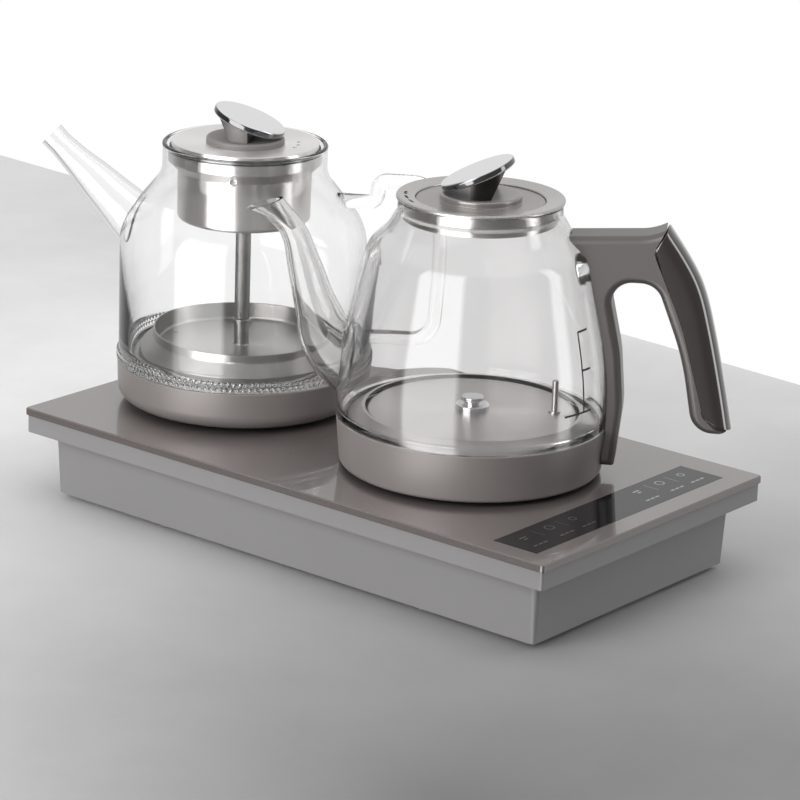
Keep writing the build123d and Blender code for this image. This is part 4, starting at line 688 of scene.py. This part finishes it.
# The camera: turns in degrees, slides and distance in millimetres, focal length in the frame's own units
lens = dict(
    azimuth=51.338, elevation=17.531, roll=2.026, slideX=-7.366, slideY=-22.748, distance=1921.626,
    focal=3435.259, frameWidth=800.0, sensor=36.0,
)
azimuth, elevation, roll = (math.radians(lens[key]) for key in ("azimuth", "elevation", "roll"))
ahead = Vector(
    (math.sin(azimuth) * math.cos(elevation), math.cos(azimuth) * math.cos(elevation), -math.sin(elevation))
)
level = Vector((math.cos(azimuth), -math.sin(azimuth), 0))
upright = level.cross(ahead)
sideways = level * math.cos(roll) + upright * math.sin(roll)
upward = upright * math.cos(roll) - level * math.sin(roll)
cameraPlace = -(sideways * lens["slideX"] + upward * lens["slideY"] + ahead * lens["distance"]) * mm
cameraPlace.z += panelTop


def placeCamera():
    data = bpy.data.cameras.new("camera")
    data.sensor_width = lens["sensor"]
    data.lens = lens["focal"] / lens["frameWidth"] * lens["sensor"]
    camera = bpy.data.objects.new("camera", data)
    bpy.context.scene.collection.objects.link(camera)
    turn = Matrix((sideways, upward, -ahead)).transposed().to_4x4()
    camera.matrix_world = Matrix.Translation(cameraPlace) @ turn
    bpy.context.scene.camera = camera


# The floor point seen at a place in the camera's frame
def floorPoint(across, down):
    half = lens["frameWidth"] / 2
    ray = ahead * lens["focal"] + sideways * (across - half) - upward * (down - half)
    return cameraPlace - ray * (cameraPlace.z / ray.z)


# The floor is painted with light and shade: darker at a spot in front, paling away from it, sooner
# towards the left. Places are in the camera's frame, and paintedFalloff and paintedShadeLeft hold
# metres from and to, then grey from and to
floorTone = dict(
    backEdge=((0, 155), (800, 385)), reach=6.0, depth=7.0, nearSpot=(450, 800), leftShare=0.5,
    paintedFalloff=(0.0, 0.80, 0.14, 0.68), paintedShadeLeft=(0.20, 0.42, 1.0, 0.42), cloud=(0.86, 1.1),
    cloudScale=3.0,
)


def makeFloor():
    left, right = (floorPoint(*place) for place in floorTone["backEdge"])
    along = (right - left).normalized()
    near = Vector((along.y, -along.x, 0))
    bm = bmesh.new()
    reach, depth = floorTone["reach"], floorTone["depth"]
    corners = [left - along * reach, right + along * reach]
    corners += [right + along * reach + near * depth, left - along * reach + near * depth]
    bm.faces.new([bm.verts.new(corner) for corner in corners])
    material, shader = newMaterial("floorGrey", Roughness=0.7)
    place = objectPlace(material)
    cloud = addNode(material, "ShaderNodeTexNoise", Scale=floorTone["cloudScale"], Detail=8.0, Roughness=0.62)
    link(material, place, cloud.inputs["Vector"])
    tone = addNode(material, "ShaderNodeValToRGB")
    for stop, position, grey in zip(tone.color_ramp.elements, (0.3, 0.7), floorTone["cloud"]):
        stop.position = position
        stop.color = (grey, grey, grey, 1)
    link(material, cloud.outputs["Fac"], tone.inputs["Fac"])
    offset = addNode(material, "ShaderNodeVectorMath", operation="SUBTRACT")
    offset.inputs[1].default_value = floorPoint(*floorTone["nearSpot"])
    link(material, place, offset.inputs[0])
    away = addNode(material, "ShaderNodeVectorMath", operation="LENGTH")
    leftward = addNode(material, "ShaderNodeVectorMath", operation="DOT_PRODUCT")
    leftward.inputs[1].default_value = level * -floorTone["leftShare"]
    for measure in (away, leftward):
        link(material, offset.outputs["Vector"], measure.inputs[0])
    sweep = addNode(material, "ShaderNodeMath", operation="ADD")
    link(material, away.outputs["Value"], sweep.inputs[0])
    link(material, leftward.outputs["Value"], sweep.inputs[1])
    # Painted falloff of light: the floor is darker near the spot in front and paler away from it
    paintedFalloff = addNode(material, "ShaderNodeMapRange")
    for socket, value in zip(("From Min", "From Max", "To Min", "To Max"), floorTone["paintedFalloff"]):
        paintedFalloff.inputs[socket].default_value = value
    link(material, sweep.outputs["Value"], paintedFalloff.inputs["Value"])
    # Painted shade: the floor is painted greyer towards the left
    paintedShadeLeft = addNode(material, "ShaderNodeMapRange")  # greyer under the window
    for socket, value in zip(("From Min", "From Max", "To Min", "To Max"), floorTone["paintedShadeLeft"]):
        paintedShadeLeft.inputs[socket].default_value = value
    link(material, leftward.outputs["Value"], paintedShadeLeft.inputs["Value"])
    pale = addNode(material, "ShaderNodeMath", operation="MULTIPLY")
    link(material, paintedFalloff.outputs["Result"], pale.inputs[0])
    link(material, paintedShadeLeft.outputs["Result"], pale.inputs[1])
    mottled = addNode(material, "ShaderNodeMixRGB", blend_type="MULTIPLY", Fac=1.0)
    link(material, pale.outputs["Value"], mottled.inputs["Color1"])
    link(material, tone.outputs["Color"], mottled.inputs["Color2"])
    link(material, mottled.outputs["Color"], shader.inputs["Base Color"])
    white = addNode(material, "ShaderNodeEmission", Color=(1, 1, 1, 1), Strength=1.0)
    rays = addNode(material, "ShaderNodeLightPath")
    direct = addNode(material, "ShaderNodeMath", operation="LESS_THAN")
    direct.inputs[1].default_value = 0.5
    link(material, rays.outputs["Glossy Depth"], direct.inputs[0])
    share = addNode(material, "ShaderNodeMath", operation="MULTIPLY")
    link(material, rays.outputs["Is Transmission Ray"], share.inputs[0])
    link(material, direct.outputs["Value"], share.inputs[1])
    through = addNode(material, "ShaderNodeMixShader")
    link(material, share.outputs["Value"], through.inputs["Fac"])
    link(material, shader.outputs["BSDF"], through.inputs[1])
    link(material, white.outputs["Emission"], through.inputs[2])
    gone = addNode(material, "ShaderNodeBsdfTransparent")
    mirrored = addNode(material, "ShaderNodeMixShader")  # steel mirrors the studio's walls down to the ground
    link(material, direct.outputs["Value"], mirrored.inputs["Fac"])
    link(material, gone.outputs["BSDF"], mirrored.inputs[1])
    link(material, through.outputs["Shader"], mirrored.inputs[2])
    link(material, mirrored.outputs["Shader"], material.node_tree.nodes["Material Output"].inputs["Surface"])
    floor = finishPiece("floor", bm, None, material)


# The studio that reflections see: turns in degrees from the camera's side, to its right, and brightness
# there. Everyday is the light that falls on the object, from its dark side to its light side
studio = dict(
    stops=[(-180, 0.80), (-140, 0.70), (-118, 0.28), (-104, 0.24), (-64, 0.14), (-60, 4.6), (-17, 4.6),
           (-12, 0.36), (30, 0.20), (74, 0.24), (78, 3.2), (88, 3.2), (93, 0.40), (108, 0.70), (150, 0.80),
           (165, 0.80), (180, 0.80)],
    brightest=4.6, overhead=0.85, overheadLow=0.5, overheadHigh=0.72, everyday=(0.30, 1.0),
    everydayFrom=(0.62, 0.50, 0.60),
)


def makeWorld():
    world = bpy.data.worlds.new("studio")
    bpy.context.scene.world = world
    world.use_nodes = True
    tree = world.node_tree
    background = tree.nodes["Background"]
    place = tree.nodes.new("ShaderNodeTexCoord").outputs["Generated"]

    def towards(direction):
        along = tree.nodes.new("ShaderNodeVectorMath")
        along.operation = "DOT_PRODUCT"
        along.inputs[1].default_value = direction
        tree.links.new(place, along.inputs[0])
        return along.outputs["Value"]

    def blend(fac, first, second):
        mixed = tree.nodes.new("ShaderNodeMixRGB")
        for value, socket in ((fac, "Fac"), (first, "Color1"), (second, "Color2")):
            if isinstance(value, tuple):
                mixed.inputs[socket].default_value = value
            else:
                tree.links.new(value, mixed.inputs[socket])
        return mixed.outputs["Color"]

    def calculate(operation, first, second):
        step = tree.nodes.new("ShaderNodeMath")
        step.operation = operation
        tree.links.new(first, step.inputs[0])
        if isinstance(second, float):
            step.inputs[1].default_value = second
        else:
            tree.links.new(second, step.inputs[1])
        return step.outputs["Value"]

    back = Vector((-ahead.x, -ahead.y, 0)).normalized()
    turn = calculate("ARCTAN2", towards(level), towards(back))
    share = tree.nodes.new("ShaderNodeMapRange")
    share.inputs["From Min"].default_value = -math.pi
    share.inputs["From Max"].default_value = math.pi
    tree.links.new(turn, share.inputs["Value"])
    ring = tree.nodes.new("ShaderNodeValToRGB")
    ramp = ring.color_ramp
    ramp.elements[1].position = 1.0
    for degrees, _ in studio["stops"][1:-1]:
        ramp.elements.new((degrees + 180) / 360)
    for stop, (degrees, light) in zip(ramp.elements, studio["stops"]):
        stop.color = (*[light / studio["brightest"]] * 3, 1)
    tree.links.new(share.outputs["Result"], ring.inputs["Fac"])
    boosted = tree.nodes.new("ShaderNodeVectorMath")
    boosted.operation = "SCALE"
    boosted.inputs["Scale"].default_value = studio["brightest"]
    tree.links.new(ring.outputs["Color"], boosted.inputs[0])
    rise = tree.nodes.new("ShaderNodeMapRange")
    rise.inputs["From Min"].default_value = studio["overheadLow"]
    rise.inputs["From Max"].default_value = studio["overheadHigh"]
    tree.links.new(towards((0, 0, 1)), rise.inputs["Value"])
    mirrored = blend(rise.outputs["Result"], boosted.outputs["Vector"], (*[studio["overhead"]] * 3, 1))
    plain = tree.nodes.new("ShaderNodeMapRange")
    plain.inputs["To Min"].default_value, plain.inputs["To Max"].default_value = studio["everyday"]
    tree.links.new(towards(studio["everydayFrom"]), plain.inputs["Value"])
    rays = tree.nodes.new("ShaderNodeLightPath").outputs
    seen = calculate("MAXIMUM", rays["Is Camera Ray"], rays["Is Transmission Ray"])
    direct = blend(seen, plain.outputs["Result"], (1.0, 1.0, 1.0, 1))
    reflected = calculate("GREATER_THAN", rays["Glossy Depth"], 0.5)
    tree.links.new(blend(reflected, direct, mirrored), background.inputs["Color"])


# Lamps that nothing shows or mirrors, in metres and watts
lamps = dict(
    windowLeft=dict(place=(-1.25, 0.15, 0.55), target=(0, -0.05, 0.12), width=0.7, height=0.9, power=14.0),
    overhead=dict(place=(-0.2, -0.2, 1.6), target=(0, 0, 0.1), width=1.4, height=1.4, power=11.0),
    rearRight=dict(place=(1.1, -0.5, 0.7), target=(0, -0.1, 0.15), width=0.6, height=0.8, power=5.0),
)


def softbox(name, place, target, width, height, power):
    data = bpy.data.lights.new(name, "AREA")
    data.shape = "RECTANGLE"
    data.size = width
    data.size_y = height
    data.energy = power
    lamp = bpy.data.objects.new(name, data)
    bpy.context.scene.collection.objects.link(lamp)
    lamp.location = place
    lamp.rotation_euler = (Vector(target) - Vector(place)).to_track_quat("-Z", "Y").to_euler()
    lamp.visible_camera = lamp.visible_glossy = lamp.visible_transmission = False


placeCamera()
makeFloor()
makeWorld()
for name, lamp in lamps.items():
    softbox(name, **lamp)
bpy.context.scene.view_settings.view_transform = "Standard"
print("studio done")
